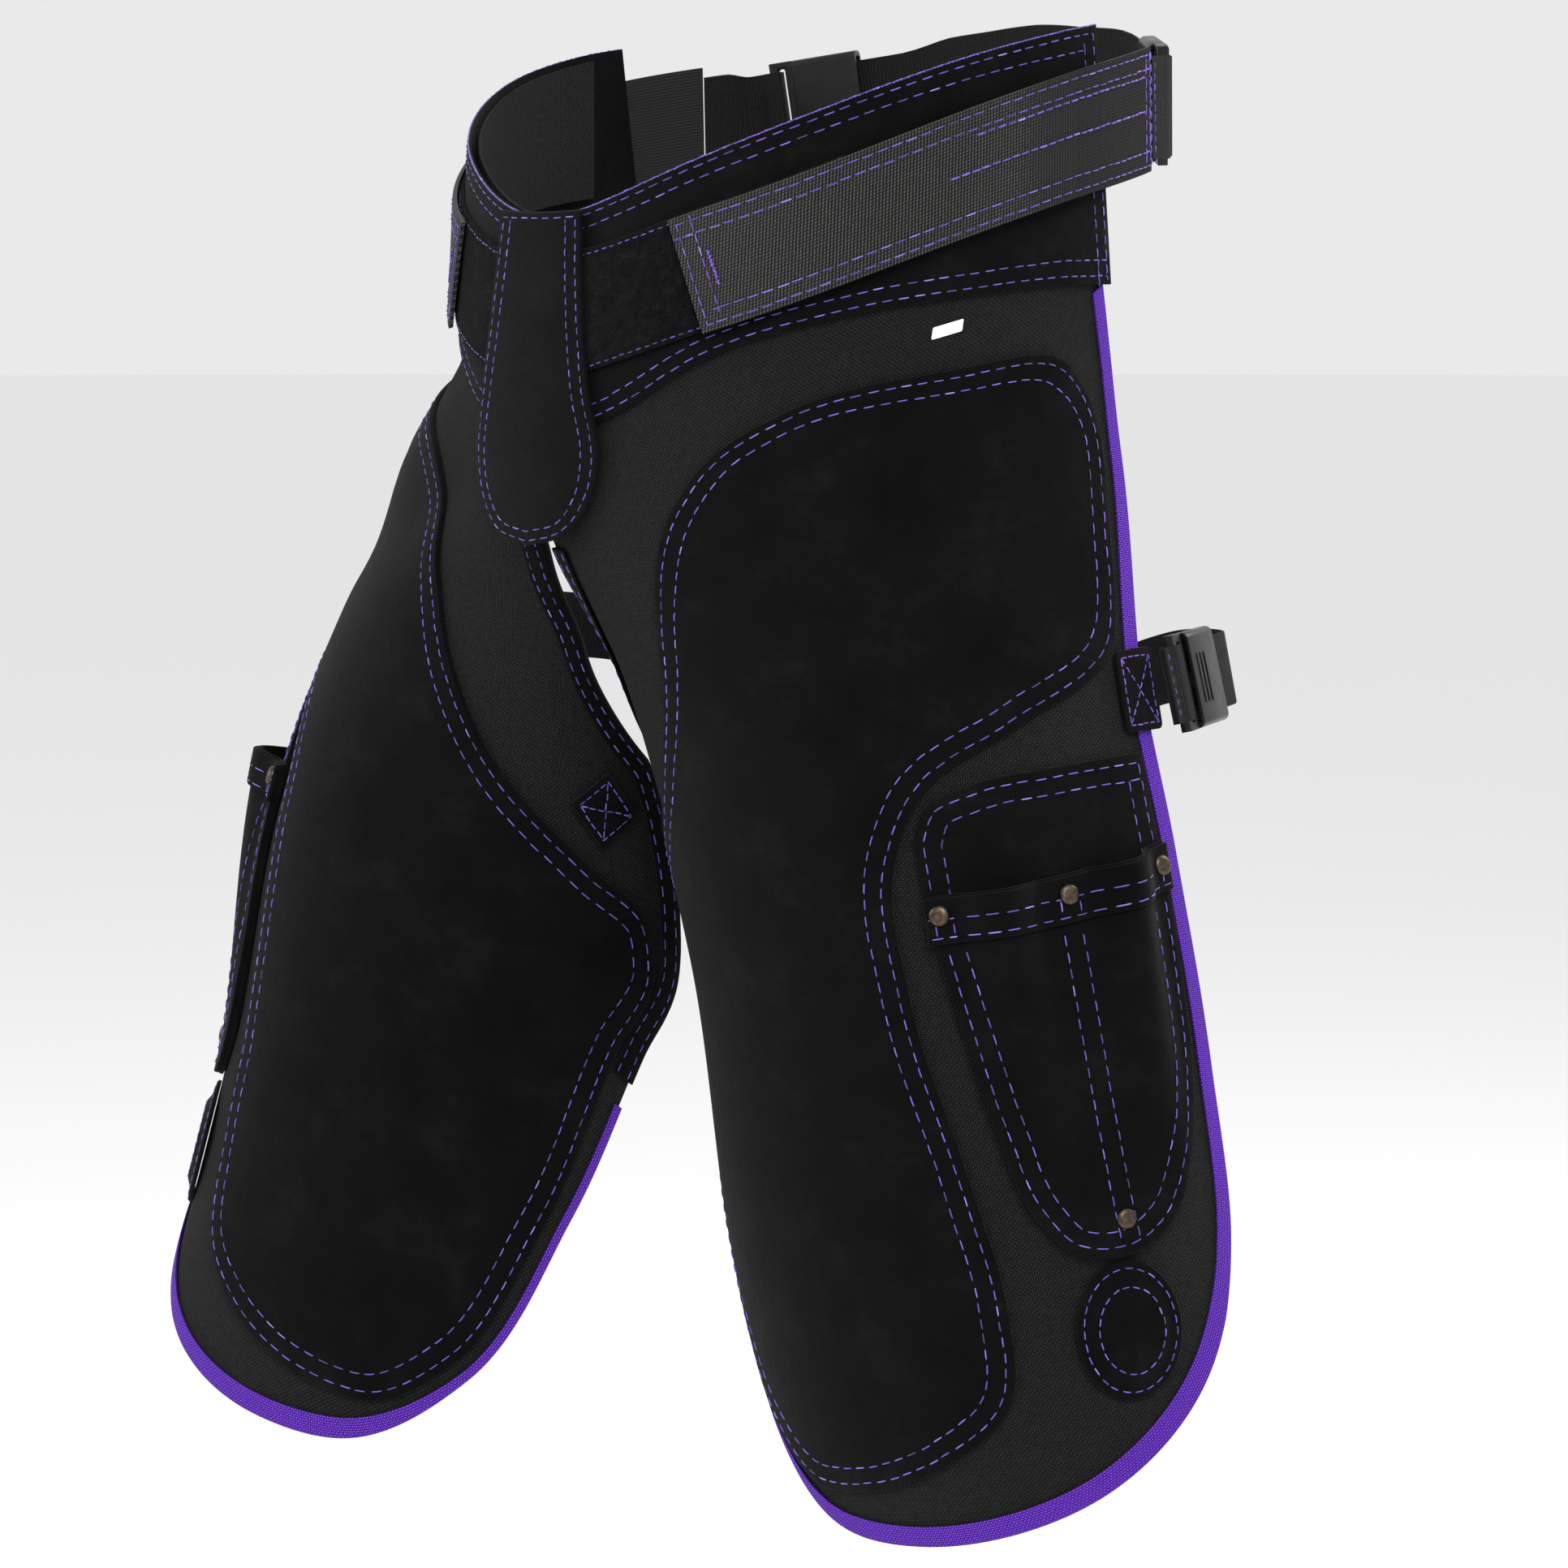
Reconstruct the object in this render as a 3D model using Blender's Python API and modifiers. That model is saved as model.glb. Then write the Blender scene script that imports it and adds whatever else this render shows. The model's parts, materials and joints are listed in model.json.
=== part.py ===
"""Farrier's apron: split-leg shoeing chaps of canvas and suede, in the shape they take when worn.

Metres, +Z up. The wearer faces -Y, and +X is the wearer's left. The origin is the centre of the waist.
Soft pieces are cut flat as slabs (across, down, thickness) and then laid on the body's surface.
"""
import math

import bmesh
import bpy
import numpy as np
from mathutils import Matrix, Vector

# ---------------------------------------------------------------- driving dimensions
WAIST_ACROSS = 0.190            # half width of the waist
WAIST_DEEP = 0.178              # half depth of the waist at the front
BACK_RATIO = 0.84               # half depth behind the waist, as a share of the front's
LEG_BACK_RATIO = 0.90           # and behind a thigh
WAIST_MEAN = (WAIST_ACROSS + WAIST_DEEP) / 2
APRON_LENGTH = 0.682            # from the waist to the hem's lowest point, down the panel
EDGE_SPACING = 0.015
HIP_T = 0.090                   # where the two legs start to part
MIDPLANE_GAP = 0.008            # a leg stays this far from the other leg's side
MIDPLANE_SOFT = 0.012           # how softly it bends away from there

CANVAS = 0.0012
SUEDE = 0.0018
WEBBING = 0.0015
GAP = 0.0014                    # between sewn layers, which lie on a coarse grid
TOUCH = 0.0004                  # between pieces that lie flat on each other
SEAM_GAP = 0.0012               # from the middle of the body to each panel's front seam
TUCK = 0.010                    # canvas that runs up under the waist yoke
TUCK_END_DEG = 80.0             # round from the front; behind this it stops short of the yoke
CLEAR_OF_YOKE = 0.006

BELT_WIDTH = 0.060              # hook tab and loop strip
BACK_BELT_WIDTH = 0.050
LEG_STRAP_WIDTH = 0.038
BINDING_WIDTH = 0.009
INNER_BINDING_WIDTH = 0.011
RIVET_RADIUS = 0.005
MAGNET_RADIUS = 0.0190
MAGNET_THICK = 0.0032
MAGNET_COVER_RADIUS = 0.033
MAGNET_COVER_OVAL = 0.80         # width of the cover as a share of its height
POCKET_SWELL = 0.014            # how far a pocket's mouth stands open

GRID_ACROSS = 0.022             # creases of the laid slabs
GRID_DOWN = 0.020
POCKET_GRID = 0.011             # finer across a pocket's swollen front
POCKET_GRID_DOWN = 0.026
BELT_GRID = 0.012               # along webbing
SMOOTH_DEG = 40                 # flatter edges are shaded smooth

# heights above the body's surface: canvas, sewn layer, loop strip, hook tape, tab
YOKE_H = CANVAS + 0.0015
SEWN_H = CANVAS + GAP
LINING_H = -0.0030              # inside the yoke, against the body
LOOP_H = YOKE_H + SUEDE + TOUCH
LOOP_THICK = 0.0020
HOOK_H = LOOP_H + LOOP_THICK + TOUCH
HOOK_THICK = 0.0010
TAB_H = HOOK_H + HOOK_THICK + TOUCH
TAB_THICK = 0.0022
FLAP_H = LOOP_H + LOOP_THICK + 0.0012
POCKET_H = SEWN_H + SUEDE + TOUCH
BAND_H = POCKET_H + SUEDE + 0.0008
BAND_THICK = 0.0014
STRAP_TAB_H = 0.0035            # over the outer binding
INNER_PATCH_H = 0.0042          # over the inner binding
BELT_H = TAB_H + TAB_THICK / 2  # middle of the belt's webbing

# belt and leg straps
TAB_TOP_DEG = 25.5              # the tab's slanted front end
TAB_LOW_DEG = 32.0
HOOK_END_DEG = 51.0
TAB_INSET = 0.006               # of the hook tape, inside the tab's edge
TAB_SEAM_DEG = 116.0
BUCKLE_A = math.radians(130.0) * WAIST_MEAN                     # arc from the front to the waist buckle
BELT_RUN = 2 * math.pi * WAIST_MEAN - 2 * BUCKLE_A              # from one buckle round the back
STRAP_TAB_S = 0.2115             # middle of the tab that holds the leg strap
STRAP_TAB_HALF = 0.0135
LEG_BUCKLE_S = 0.2365
LEG_STRAP_T = 0.260
STRAP_END_T = 0.330
LEG_STRAP_RUN = 0.474                                           # from the buckle to the inner edge
LEG_STRAP_H = 0.0062
BUCKLE_MID = 0.026
WAIST_BEND = 0.187                                              # radius of the waist at the buckle
LEG_BEND = 0.140
LEG_STRAP_DROP = 0.0130                                         # its inner end lies inside the canvas
STRAP_START = 0.037                                             # inside the buckle's sleeve

# joints
LEG_HINGE = (0.0, -0.030, -0.190)

# The body under the apron, as rings down each leg: distance down the panel, then the ring's centre
# (out, back, up), half width, half depth, turn of the front crease, and tilts forward and outward.
WAIST_RING = (HIP_T, 0.0, 0.0, -0.0743, WAIST_ACROSS, WAIST_DEEP, 31.0, -15.5, 0.0)
WAIST_SLOPE = (0.0, 0.0, -0.857, 0.0, 0.0, -35.7, 50.0, 0.0)
LEG_RINGS = {
    1: [WAIST_RING,                                             # the wearer's left leg stands
        (0.24, 0.086, -0.006, -0.225, 0.145, 0.148, 13.0, -4.0, 2.0),
        (0.38, 0.135, -0.007, -0.365, 0.132, 0.138, 6.0, 0.0, 6.0),
        (0.52, 0.155, 0.004, -0.498, 0.134, 0.140, 8.0, 0.0, 8.0),
        (0.70, 0.184, 0.028, -0.661, 0.136, 0.142, 10.0, 0.0, 10.0)],
    -1: [WAIST_RING,                                            # the right leg steps forward
         (0.24, 0.114, -0.026, -0.225, 0.156, 0.148, 2.0, 2.0, 4.0),
         (0.38, 0.141, -0.076, -0.360, 0.134, 0.138, -12.0, 14.0, 10.0),
         (0.52, 0.150, -0.100, -0.490, 0.134, 0.140, -24.0, 16.0, 12.0),
         (0.70, 0.170, -0.138, -0.663, 0.136, 0.142, -28.0, 18.0, 14.0)],
}
SIDES = {"left": 1, "right": -1}

# flat pattern of a leg (across from the front crease, down), smooth runs through a few points
OUTER_EDGE = [(0.221, 0.071), (0.234, 0.112), (0.235, 0.155), (0.217, 0.245), (0.222, 0.340),
              (0.222, 0.450), (0.212, 0.537), (0.173, 0.613), (0.108, 0.665), (0.018, APRON_LENGTH),
              (-0.030, 0.672), (-0.082, 0.622), (-0.120, 0.530), (-0.162, 0.437), (-0.184, 0.396),
              (-0.183, 0.362), (-0.165, 0.305), (-0.124, 0.245), (-0.103, 0.195), (-0.098, 0.165)]
THIGH_PATCH = [(0.010, 0.107), (0.042, 0.087), (0.128, 0.085), (0.188, 0.098), (0.214, 0.130),
               (0.212, 0.190), (0.198, 0.238), (0.143, 0.271), (0.096, 0.300), (0.076, 0.340),
               (0.074, 0.400), (0.087, 0.500), (0.091, 0.560), (0.080, 0.615), (0.045, 0.641),
               (-0.005, 0.654), (-0.040, 0.650), (-0.074, 0.618), (-0.106, 0.540), (-0.146, 0.440),
               (-0.170, 0.394), (-0.165, 0.370), (-0.130, 0.350), (-0.078, 0.312), (-0.046, 0.262),
               (-0.028, 0.200), (-0.008, 0.137)]
POCKET_SIDES = [(0.209, 0.335), (0.208, 0.400), (0.205, 0.443), (0.193, 0.493), (0.175, 0.526),
                (0.150, 0.540), (0.126, 0.536), (0.112, 0.515), (0.103, 0.473), (0.095, 0.415),
                (0.088, 0.357)]
POCKET_TOP = [(0.087, 0.325), (0.094, 0.309), (0.115, 0.299), (0.155, 0.293), (0.207, 0.290)]
POCKET_MOUTH = [(0.088, 0.353), (0.153, 0.346), (0.2095, 0.334)]
POCKET_DIVIDER_S = 0.153
POCKET_BOTTOM_T = 0.540
BAND_DEPTH = 0.024
RIVETS = [(0.0945, 0.362), (0.153, 0.356), (0.2035, 0.346), (0.153, 0.521)]
SEAM_SHARE = 0.22               # of a pocket's width, flat beside each seam
MAGNET_AT = (0.144, 0.579)
INNER_PATCH_AT = (-0.136, 0.321)
INNER_PATCH_HALF = 0.019
LABEL_AT = (0.119, 0.060)
LABEL_SIZE = (0.016, 0.007)

# waist yoke, in degrees round from the front, and distance down
YOKE_TOP = [(0, -0.062), (8, -0.068), (30, -0.090), (66, -0.098), (93, -0.081), (98, -0.077)]
YOKE_LOW = [(0, 0.088), (16, 0.074), (32, 0.043), (54, 0.035), (74, 0.045), (103, 0.069)]
YOKE_LOW_DEG, YOKE_LOW_T = zip(*YOKE_LOW)
BELT_LINE = [(0, 0.004), (32, -0.017), (67, -0.030), (115, -0.013), (132, -0.003), (180, -0.006)]
LINING_SHORT_DEG = 2.0          # the lining ends inside the yoke's ends and top edge
LINING_INSET = 0.004
LINING_DEPTH = 0.085
LINING_LOW_T = 0.016
FLAP_TOP_T, FLAP_LENGTH_T = -0.070, 0.232
FLAP_TOP_HALF, FLAP_LOW_HALF = 0.031, 0.048
FLAP_LEAN_IN = 0.004
THIGH_PUSH = 0.024               # cloth pushed out by the thigh that steps forward


# ---------------------------------------------------------------- scene, collections, materials
for old in list(bpy.data.objects):
    bpy.data.objects.remove(old, do_unlink=True)

PARTS = bpy.data.collections.new("farrier_apron")
CUTTERS = bpy.data.collections.new("cutters")
for group in (PARTS, CUTTERS):
    bpy.context.scene.collection.children.link(group)


def plain_material(name, colour, roughness, metallic=0.0):
    material = bpy.data.materials.new(name)
    material.use_nodes = True
    shader = material.node_tree.nodes["Principled BSDF"]
    shader.inputs["Base Color"].default_value = (*colour, 1.0)
    shader.inputs["Roughness"].default_value = roughness
    shader.inputs["Metallic"].default_value = metallic
    return material


FINISHES = {
    "canvas": ((0.022, 0.022, 0.024), 0.95, 0.0),
    "suede": ((0.007, 0.007, 0.008), 0.90, 0.0),
    "binding": ((0.150, 0.050, 0.420), 0.75, 0.0),
    "elastic": ((0.030, 0.030, 0.032), 0.80, 0.0),
    "webbing": ((0.012, 0.012, 0.013), 0.70, 0.0),
    "plush": ((0.006, 0.006, 0.006), 1.00, 0.0),
    "plastic": ((0.012, 0.012, 0.013), 0.35, 0.0),
    "bronze": ((0.160, 0.120, 0.085), 0.42, 1.0),
    "magnet_steel": ((0.550, 0.550, 0.560), 0.30, 1.0),
    "label": ((0.850, 0.850, 0.850), 0.70, 0.0),
}


def finish_object(name, mesh, finish):
    """One named object with its own material."""
    obj = bpy.data.objects.new(name, mesh)
    PARTS.objects.link(obj)
    mesh.materials.append(plain_material(name, *FINISHES[finish]))
    return obj


# ---------------------------------------------------------------- the body's surface
def hermite(xs, ys, x, first_slope=None):
    """Smooth curve through (xs, ys), straight beyond both ends."""
    xs, ys, x = np.asarray(xs, float), np.asarray(ys, float), np.asarray(x, float)
    slope = np.gradient(ys, xs)
    if first_slope is not None:
        slope[0] = first_slope
    i = np.clip(np.searchsorted(xs, x) - 1, 0, len(xs) - 2)
    step = xs[i + 1] - xs[i]
    u = np.clip((x - xs[i]) / step, 0, 1)
    y = ys[i] * (1 + 2 * u) * (1 - u) ** 2 + ys[i + 1] * u * u * (3 - 2 * u)
    y = y + step * slope[i] * u * (1 - u) ** 2 + step * slope[i + 1] * u * u * (u - 1)
    return y + np.minimum(x - xs[0], 0) * slope[0] + np.maximum(x - xs[-1], 0) * slope[-1]


def smoothstep(low, high, x):
    u = np.clip((np.asarray(x, float) - low) / (high - low), 0, 1)
    return u * u * (3 - 2 * u)


def ring_at(side, t):
    """Centre, half sizes, crease turn and tilts of the ring at T; side 0 is the waist's plain cone."""
    if side == 0:
        return [WAIST_RING[k + 1] + WAIST_SLOPE[k] * (np.asarray(t, float) - HIP_T) for k in range(8)]
    rings = np.array(LEG_RINGS[side])
    return [hermite(rings[:, 0], rings[:, k + 1], t, WAIST_SLOPE[k]) for k in range(8)]


def thigh_push(angle, t):
    """How far the thigh that steps forward pushes the cloth out, just below the yoke."""
    turned = np.degrees(angle)
    below = np.asarray(t, float) - hermite(YOKE_LOW_DEG, YOKE_LOW_T, np.clip(turned, 0, 90))
    down = smoothstep(0.010, 0.080, below) * (1 - smoothstep(0.12, 0.22, t))
    return THIGH_PUSH * down * smoothstep(16, 50, turned) * (1 - smoothstep(55, 95, turned))


def tube_point(side, angle, t, lift):
    """Point on the body: ANGLE round from the front (outward positive), T down, LIFT off the surface."""
    out, back, up, across, deep, _, tip, splay = ring_at(side, t)
    tip, splay = np.radians(tip), np.radians(splay)
    sine, cosine = np.sin(angle), np.cos(angle)
    above_hip = 1.0 if side == 0 else 1 - smoothstep(HIP_T, 0.24, t)
    deep = np.where(cosine < 0, deep * (LEG_BACK_RATIO + (BACK_RATIO - LEG_BACK_RATIO) * above_hip), deep)
    x = out + across * sine * np.cos(splay)
    y = back - deep * cosine * np.cos(tip)
    z = up + across * sine * np.sin(splay) + deep * cosine * np.sin(tip)
    if side != 0:
        past = np.clip((x - MIDPLANE_GAP) / MIDPLANE_SOFT, -40, 40)
        kept = MIDPLANE_GAP + MIDPLANE_SOFT * np.log1p(np.exp(past))
        x = x + (kept - x) * smoothstep(0.17, 0.26, t)
    if side == -1:
        lift = lift + thigh_push(angle, t)
    x = x + lift * sine * np.cos(splay)
    y = y - lift * cosine * np.cos(tip)
    z = z + lift * (sine * np.sin(splay) + cosine * np.sin(tip))
    return np.stack(np.broadcast_arrays(x * (side or 1), y, z), -1)


def leg_angle(side, s, t):
    ring = ring_at(side, t)
    return np.radians(ring[5]) + np.asarray(s, float) * 2 / (ring[3] + ring[4])


def leg_place(side):
    return lambda s, t, lift: tube_point(side, leg_angle(side, s, t), t, lift)


def waist_place(a, t, lift):
    """A is the arc round the waist from the front, positive to the wearer's left."""
    return tube_point(0, np.asarray(a, float) / WAIST_MEAN, t, lift)


def belt_t(angle):
    table = np.array(BELT_LINE)
    turned = np.degrees(np.abs(np.asarray(angle, float)))
    return hermite(table[:, 0], table[:, 1], np.minimum(turned, 360 - turned), 0.0)


def unit(v):
    return v / np.linalg.norm(v, axis=-1, keepdims=True)


def belt_place(side):
    """Round the waist on the belt line: arc, true distance below the line, lift."""
    def place(a, v, lift):
        angle = np.asarray(a, float) / WAIST_MEAN
        middle = tube_point(0, angle, belt_t(angle), lift)
        lower = tube_point(0, angle, belt_t(angle) + 0.002, lift)
        point = middle + unit(lower - middle) * np.asarray(v, float)[..., None]
        return point * np.array([side, 1, 1])
    return place


def stand_off(x, bend):
    """Extra lift near a buckle at x = 0, where the webbing runs straight and not round the body."""
    straight = (x - BUCKLE_MID) ** 2 / (2 * bend)
    return straight * smoothstep(-0.045, -0.005, x) * (1 - smoothstep(0.055, 0.130, x))


def straightened(place, middle_h):
    """The same run, but exactly straight through the buckle at its start."""
    frame = local_frame(place, BUCKLE_MID, 0.0, middle_h)
    off = np.array(frame)[:3, 2]
    below = place(BUCKLE_MID, 0.001, middle_h) - place(BUCKLE_MID, -0.001, middle_h)
    down = 1 if np.array(frame)[:3, 1] @ below > 0 else -1

    def run(x, v, lift):
        x = np.asarray(x, float)
        share = smoothstep(-0.030, -0.010, x) * (1 - smoothstep(0.072, 0.100, x))
        straight = at_frame(frame, x - BUCKLE_MID, np.asarray(v, float) * down, lift - middle_h)
        return place(x, v, lift) + (straight - place(x, v, lift)) * share[..., None]
    return run


def back_belt_run(side):
    """Place on the belt behind the wearer: distance past the buckle's front, distance below, lift."""
    def place(x, v, lift):
        x = np.asarray(x, float)
        extra = stand_off(x, WAIST_BEND) + stand_off(BELT_RUN - x, WAIST_BEND)
        return belt_place(side)(BUCKLE_A + x, v, lift + extra)
    return straightened(place, BELT_H)


def back_belt_place(x, v, lift):
    """The whole belt: the left buckle's run for its first half, the right buckle's for the rest."""
    x = np.asarray(x, float)
    near = back_belt_run(1)(x, v, lift)
    far = back_belt_run(-1)(BELT_RUN - x, v, lift)
    return np.where((x < BELT_RUN / 2)[..., None], near, far)


def leg_strap_run(side):
    """The same on the strap behind a thigh, which ends inside the panel's inner edge."""
    def place(x, v, lift):
        x = np.asarray(x, float)
        t = LEG_STRAP_T + (STRAP_END_T - LEG_STRAP_T) * smoothstep(0.10, 0.42, x)
        first = leg_angle(side, LEG_BUCKLE_S, LEG_STRAP_T)
        last = leg_angle(side, INNER_PATCH_AT[0] - 0.012, STRAP_END_T) + 2 * math.pi
        angle = first + (last - first) * x / LEG_STRAP_RUN
        base = lift + stand_off(x, LEG_BEND) - LEG_STRAP_DROP * smoothstep(0.30, 0.46, x)
        middle = tube_point(side, angle, t, base)
        lower = tube_point(side, angle, t + 0.002, base)
        return middle + unit(lower - middle) * np.asarray(v, float)[..., None]
    return straightened(place, LEG_STRAP_H)


def local_frame(place, u, v, lift):
    """Matrix at a point of a laid sheet: X along u, Z square to the sheet and off the body."""
    step = 0.001
    here = place(u, v, lift)
    along = unit(place(u + step, v, lift) - place(u - step, v, lift))
    down = place(u, v + step, lift) - place(u, v - step, lift)
    off = unit(np.cross(along, down))
    if off @ (place(u, v, lift + step) - here) < 0:
        off = -off
    side = np.cross(off, along)
    return Matrix([[along[k], side[k], off[k], here[k]] for k in range(3)] + [[0, 0, 0, 1]])


def at_frame(matrix, x, v, lift):
    """Points of a straight strap in a buckle's own frame, as world positions."""
    array = np.array(matrix)
    x, v, lift = np.broadcast_arrays(np.asarray(x, float), v, lift)
    return np.stack([x, v, lift], -1) @ array[:3, :3].T + array[:3, 3]


# ---------------------------------------------------------------- outlines
def smooth_run(points, spacing=0.018):
    """Points along a smooth open curve through POINTS, about SPACING apart."""
    points = np.array(points, float)
    length = np.concatenate([[0], np.cumsum(np.linalg.norm(np.diff(points, axis=0), axis=1))])
    steps = max(2, round(length[-1] / spacing))
    at = np.linspace(0, length[-1], steps + 1)
    return np.stack([hermite(length, points[:, k], at) for k in (0, 1)], -1)


def smooth_loop(points, spacing=0.018):
    """The same for a closed curve: the ends overlap so that the curve joins smoothly."""
    count = len(points)
    wrapped = points[-3:] + points + points[:4]
    array = np.array(wrapped, float)
    length = np.concatenate([[0], np.cumsum(np.linalg.norm(np.diff(array, axis=0), axis=1))])
    start, end = length[3], length[3 + count]
    at = np.linspace(start, end, max(6, round((end - start) / spacing)), endpoint=False)
    return np.stack([hermite(length, array[:, k], at) for k in (0, 1)], -1)


def circle(radius, count, centre=(0.0, 0.0)):
    turns = np.arange(count) * 2 * math.pi / count
    return np.stack([centre[0] + radius * np.cos(turns), centre[1] + radius * np.sin(turns)], -1)


def rounded_box(half_x, half_y, radius, centre=(0.0, 0.0), steps=3):
    corners = []
    for quarter, (sx, sy) in enumerate(((1, 1), (-1, 1), (-1, -1), (1, -1))):
        for k in range(steps + 1):
            turn = (quarter + k / steps) * math.pi / 2
            corners.append((centre[0] + sx * (half_x - radius) + radius * math.cos(turn),
                            centre[1] + sy * (half_y - radius) + radius * math.sin(turn)))
    return np.array(corners)


# ---------------------------------------------------------------- makers
def flat_solid(outlines, thickness):
    """Closed slab of one or more outlines (later ones are holes), as a bmesh with its base at z = 0."""
    data = bpy.data.curves.new("outline", "CURVE")
    data.dimensions = "2D"
    data.fill_mode = "BOTH"
    data.extrude = thickness / 2
    for outline in outlines:
        spline = data.splines.new("POLY")
        spline.points.add(len(outline) - 1)
        for point, (x, y) in zip(spline.points, outline):
            point.co = (x, y, 0, 1)
        spline.use_cyclic_u = True
    guide = bpy.data.objects.new("outline", data)
    CUTTERS.objects.link(guide)
    graph = bpy.context.evaluated_depsgraph_get()
    mesh = bpy.data.meshes.new_from_object(guide.evaluated_get(graph))
    bm = bmesh.new()
    bm.from_mesh(mesh)
    bpy.data.objects.remove(guide, do_unlink=True)
    bpy.data.curves.remove(data)
    bpy.data.meshes.remove(mesh)
    bmesh.ops.remove_doubles(bm, verts=bm.verts[:], dist=1e-6)
    bmesh.ops.translate(bm, verts=bm.verts[:], vec=(0, 0, thickness / 2))
    return bm


def crease(bm, pitches):
    """Cut a flat slab along the common grid so that it can bend there."""
    bmesh.ops.dissolve_limit(bm, angle_limit=0.01, verts=bm.verts[:], edges=bm.edges[:])
    for axis, pitch in enumerate(pitches):
        if not pitch:
            continue
        low = min(v.co[axis] for v in bm.verts)
        high = max(v.co[axis] for v in bm.verts)
        for k in range(math.ceil(low / pitch), math.floor(high / pitch) + 1):
            plane_co, plane_no = Vector(), Vector()
            plane_co[axis], plane_no[axis] = k * pitch, 1
            bmesh.ops.bisect_plane(bm, geom=bm.verts[:] + bm.edges[:] + bm.faces[:], dist=1e-5,
                                   plane_co=plane_co, plane_no=plane_no)
    bmesh.ops.triangulate(bm, faces=bm.faces[:])


def lay(bm, place, low, swell=None):
    """Move each point (across, down, thickness) of a slab to its place on the body."""
    flat = np.array([v.co for v in bm.verts])
    lift = low + flat[:, 2]
    if swell:
        lift = lift + swell(flat[:, 0], flat[:, 1])
    for vertex, point in zip(bm.verts, place(flat[:, 0], flat[:, 1], lift)):
        vertex.co = point
    face_out(bm)


def face_out(bm):
    """Turn every face outwards."""
    bmesh.ops.recalc_face_normals(bm, faces=bm.faces[:])
    if bm.calc_volume(signed=True) < 0:
        bmesh.ops.reverse_faces(bm, faces=bm.faces[:])


def bmesh_object(name, bm, finish):
    mesh = bpy.data.meshes.new(name)
    bm.to_mesh(mesh)
    bm.free()
    mesh.shade_smooth()
    mesh.set_sharp_from_angle(angle=math.radians(SMOOTH_DEG))
    return finish_object(name, mesh, finish)


def laid_slab(name, outline, low, thickness, place, finish, pitches=(GRID_ACROSS, GRID_DOWN), swell=None):
    bm = flat_solid([outline], thickness)
    crease(bm, pitches)
    lay(bm, place, low, swell)
    return bmesh_object(name, bm, finish)


def edge_binding(name, path, section_at, place, finish):
    """Strip folded over a sheet's edge: a U section swept along the flat edge PATH, sheet on its left."""
    bm = bmesh.new()
    tangent = unit(np.gradient(path, axis=0))
    outward = np.stack([tangent[:, 1], -tangent[:, 0]], -1)
    rings = []
    for k, (point, out) in enumerate(zip(path, outward)):
        section = np.array(section_at(k / (len(path) - 1)))
        flat = point + out * section[:, :1]
        rings.append([bm.verts.new(p) for p in place(flat[:, 0], flat[:, 1], section[:, 1])])
    count = len(rings[0])
    for first, second in zip(rings, rings[1:]):
        for k in range(count):
            bm.faces.new((first[k], first[(k + 1) % count], second[(k + 1) % count], second[k]))
    for ring in (rings[0], rings[-1]):
        for a, b, c, d in ((0, 1, 6, 7), (1, 2, 5, 6), (2, 3, 4, 5)):
            bm.faces.new((ring[a], ring[b], ring[c], ring[d]))
    bmesh.ops.triangulate(bm, faces=bm.faces[:])
    face_out(bm)
    return bmesh_object(name, bm, finish)


def folded_section(front_lip, back_lip, cloth, room=0.0006):
    """U section round a sheet's edge: how far each lip reaches in, its thickness, and room inside."""
    top, bottom, reach = CANVAS + room, -room - 0.0005, 0.0012
    return [(-back_lip, bottom - cloth), (reach + cloth, bottom - cloth), (reach + cloth, top + cloth),
            (-front_lip, top + cloth), (-front_lip, top), (reach, top), (reach, bottom), (-back_lip, bottom)]


def flat_plate(name, outlines, thickness, matrix, finish):
    bm = flat_solid(outlines, thickness)
    face_out(bm)
    obj = bmesh_object(name, bm, finish)
    obj.matrix_world = matrix
    return obj


def turned(name, profile, steps, matrix, finish):
    """Body of revolution about its own Z, from a profile at +X that runs top to bottom."""
    mesh = bpy.data.meshes.new(name)
    mesh.from_pydata([(x, 0, z) for x, z in profile], [(k, k + 1) for k in range(len(profile) - 1)], [])
    obj = finish_object(name, mesh, finish)
    screw = obj.modifiers.new("turn", "SCREW")
    screw.steps = screw.render_steps = steps
    screw.use_merge_vertices = True
    screw.merge_threshold = 0.00001
    obj.matrix_world = matrix
    return obj


# ---------------------------------------------------------------- buckles
BUCKLE_BAR = 0.0045             # plastic either side of the webbing slot
BUCKLE_SLOT = 0.0042
PRONG_LENGTH = 0.020
PRONG_THICK = 0.0050
SLEEVE_LENGTH = 0.036
SLEEVE_THICK = 0.0105
SLEEVE_WALL = 0.0020


def buckle_male(name, webbing_width, matrix):
    """Frame with a webbing slot, and three prongs that point along +X."""
    half = webbing_width / 2 + BUCKLE_BAR
    base = 2 * BUCKLE_BAR + BUCKLE_SLOT
    tip = base + PRONG_LENGTH
    arm_out, arm_in, guide = half - 0.0040, half - 0.0085, 0.0035
    side = [(0, half), (base, half), (base, arm_out - 0.0012), (tip - 0.008, arm_out - 0.0012),
            (tip - 0.007, arm_out), (tip - 0.001, arm_out - 0.002), (tip - 0.001, arm_in + 0.001),
            (tip - 0.004, arm_in), (base, arm_in), (base, guide), (tip - 0.002, guide), (tip, guide - 0.002)]
    outline = side + [(x, -y) for x, y in reversed(side)]
    slot = rounded_box(BUCKLE_SLOT / 2, webbing_width / 2 + 0.0008, 0.001,
                       (BUCKLE_BAR + BUCKLE_SLOT / 2, 0), steps=2)
    lowered = matrix @ Matrix.Translation((0, 0, -PRONG_THICK / 2))
    return flat_plate(name, [outline, slot], PRONG_THICK, lowered, "plastic")


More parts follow.
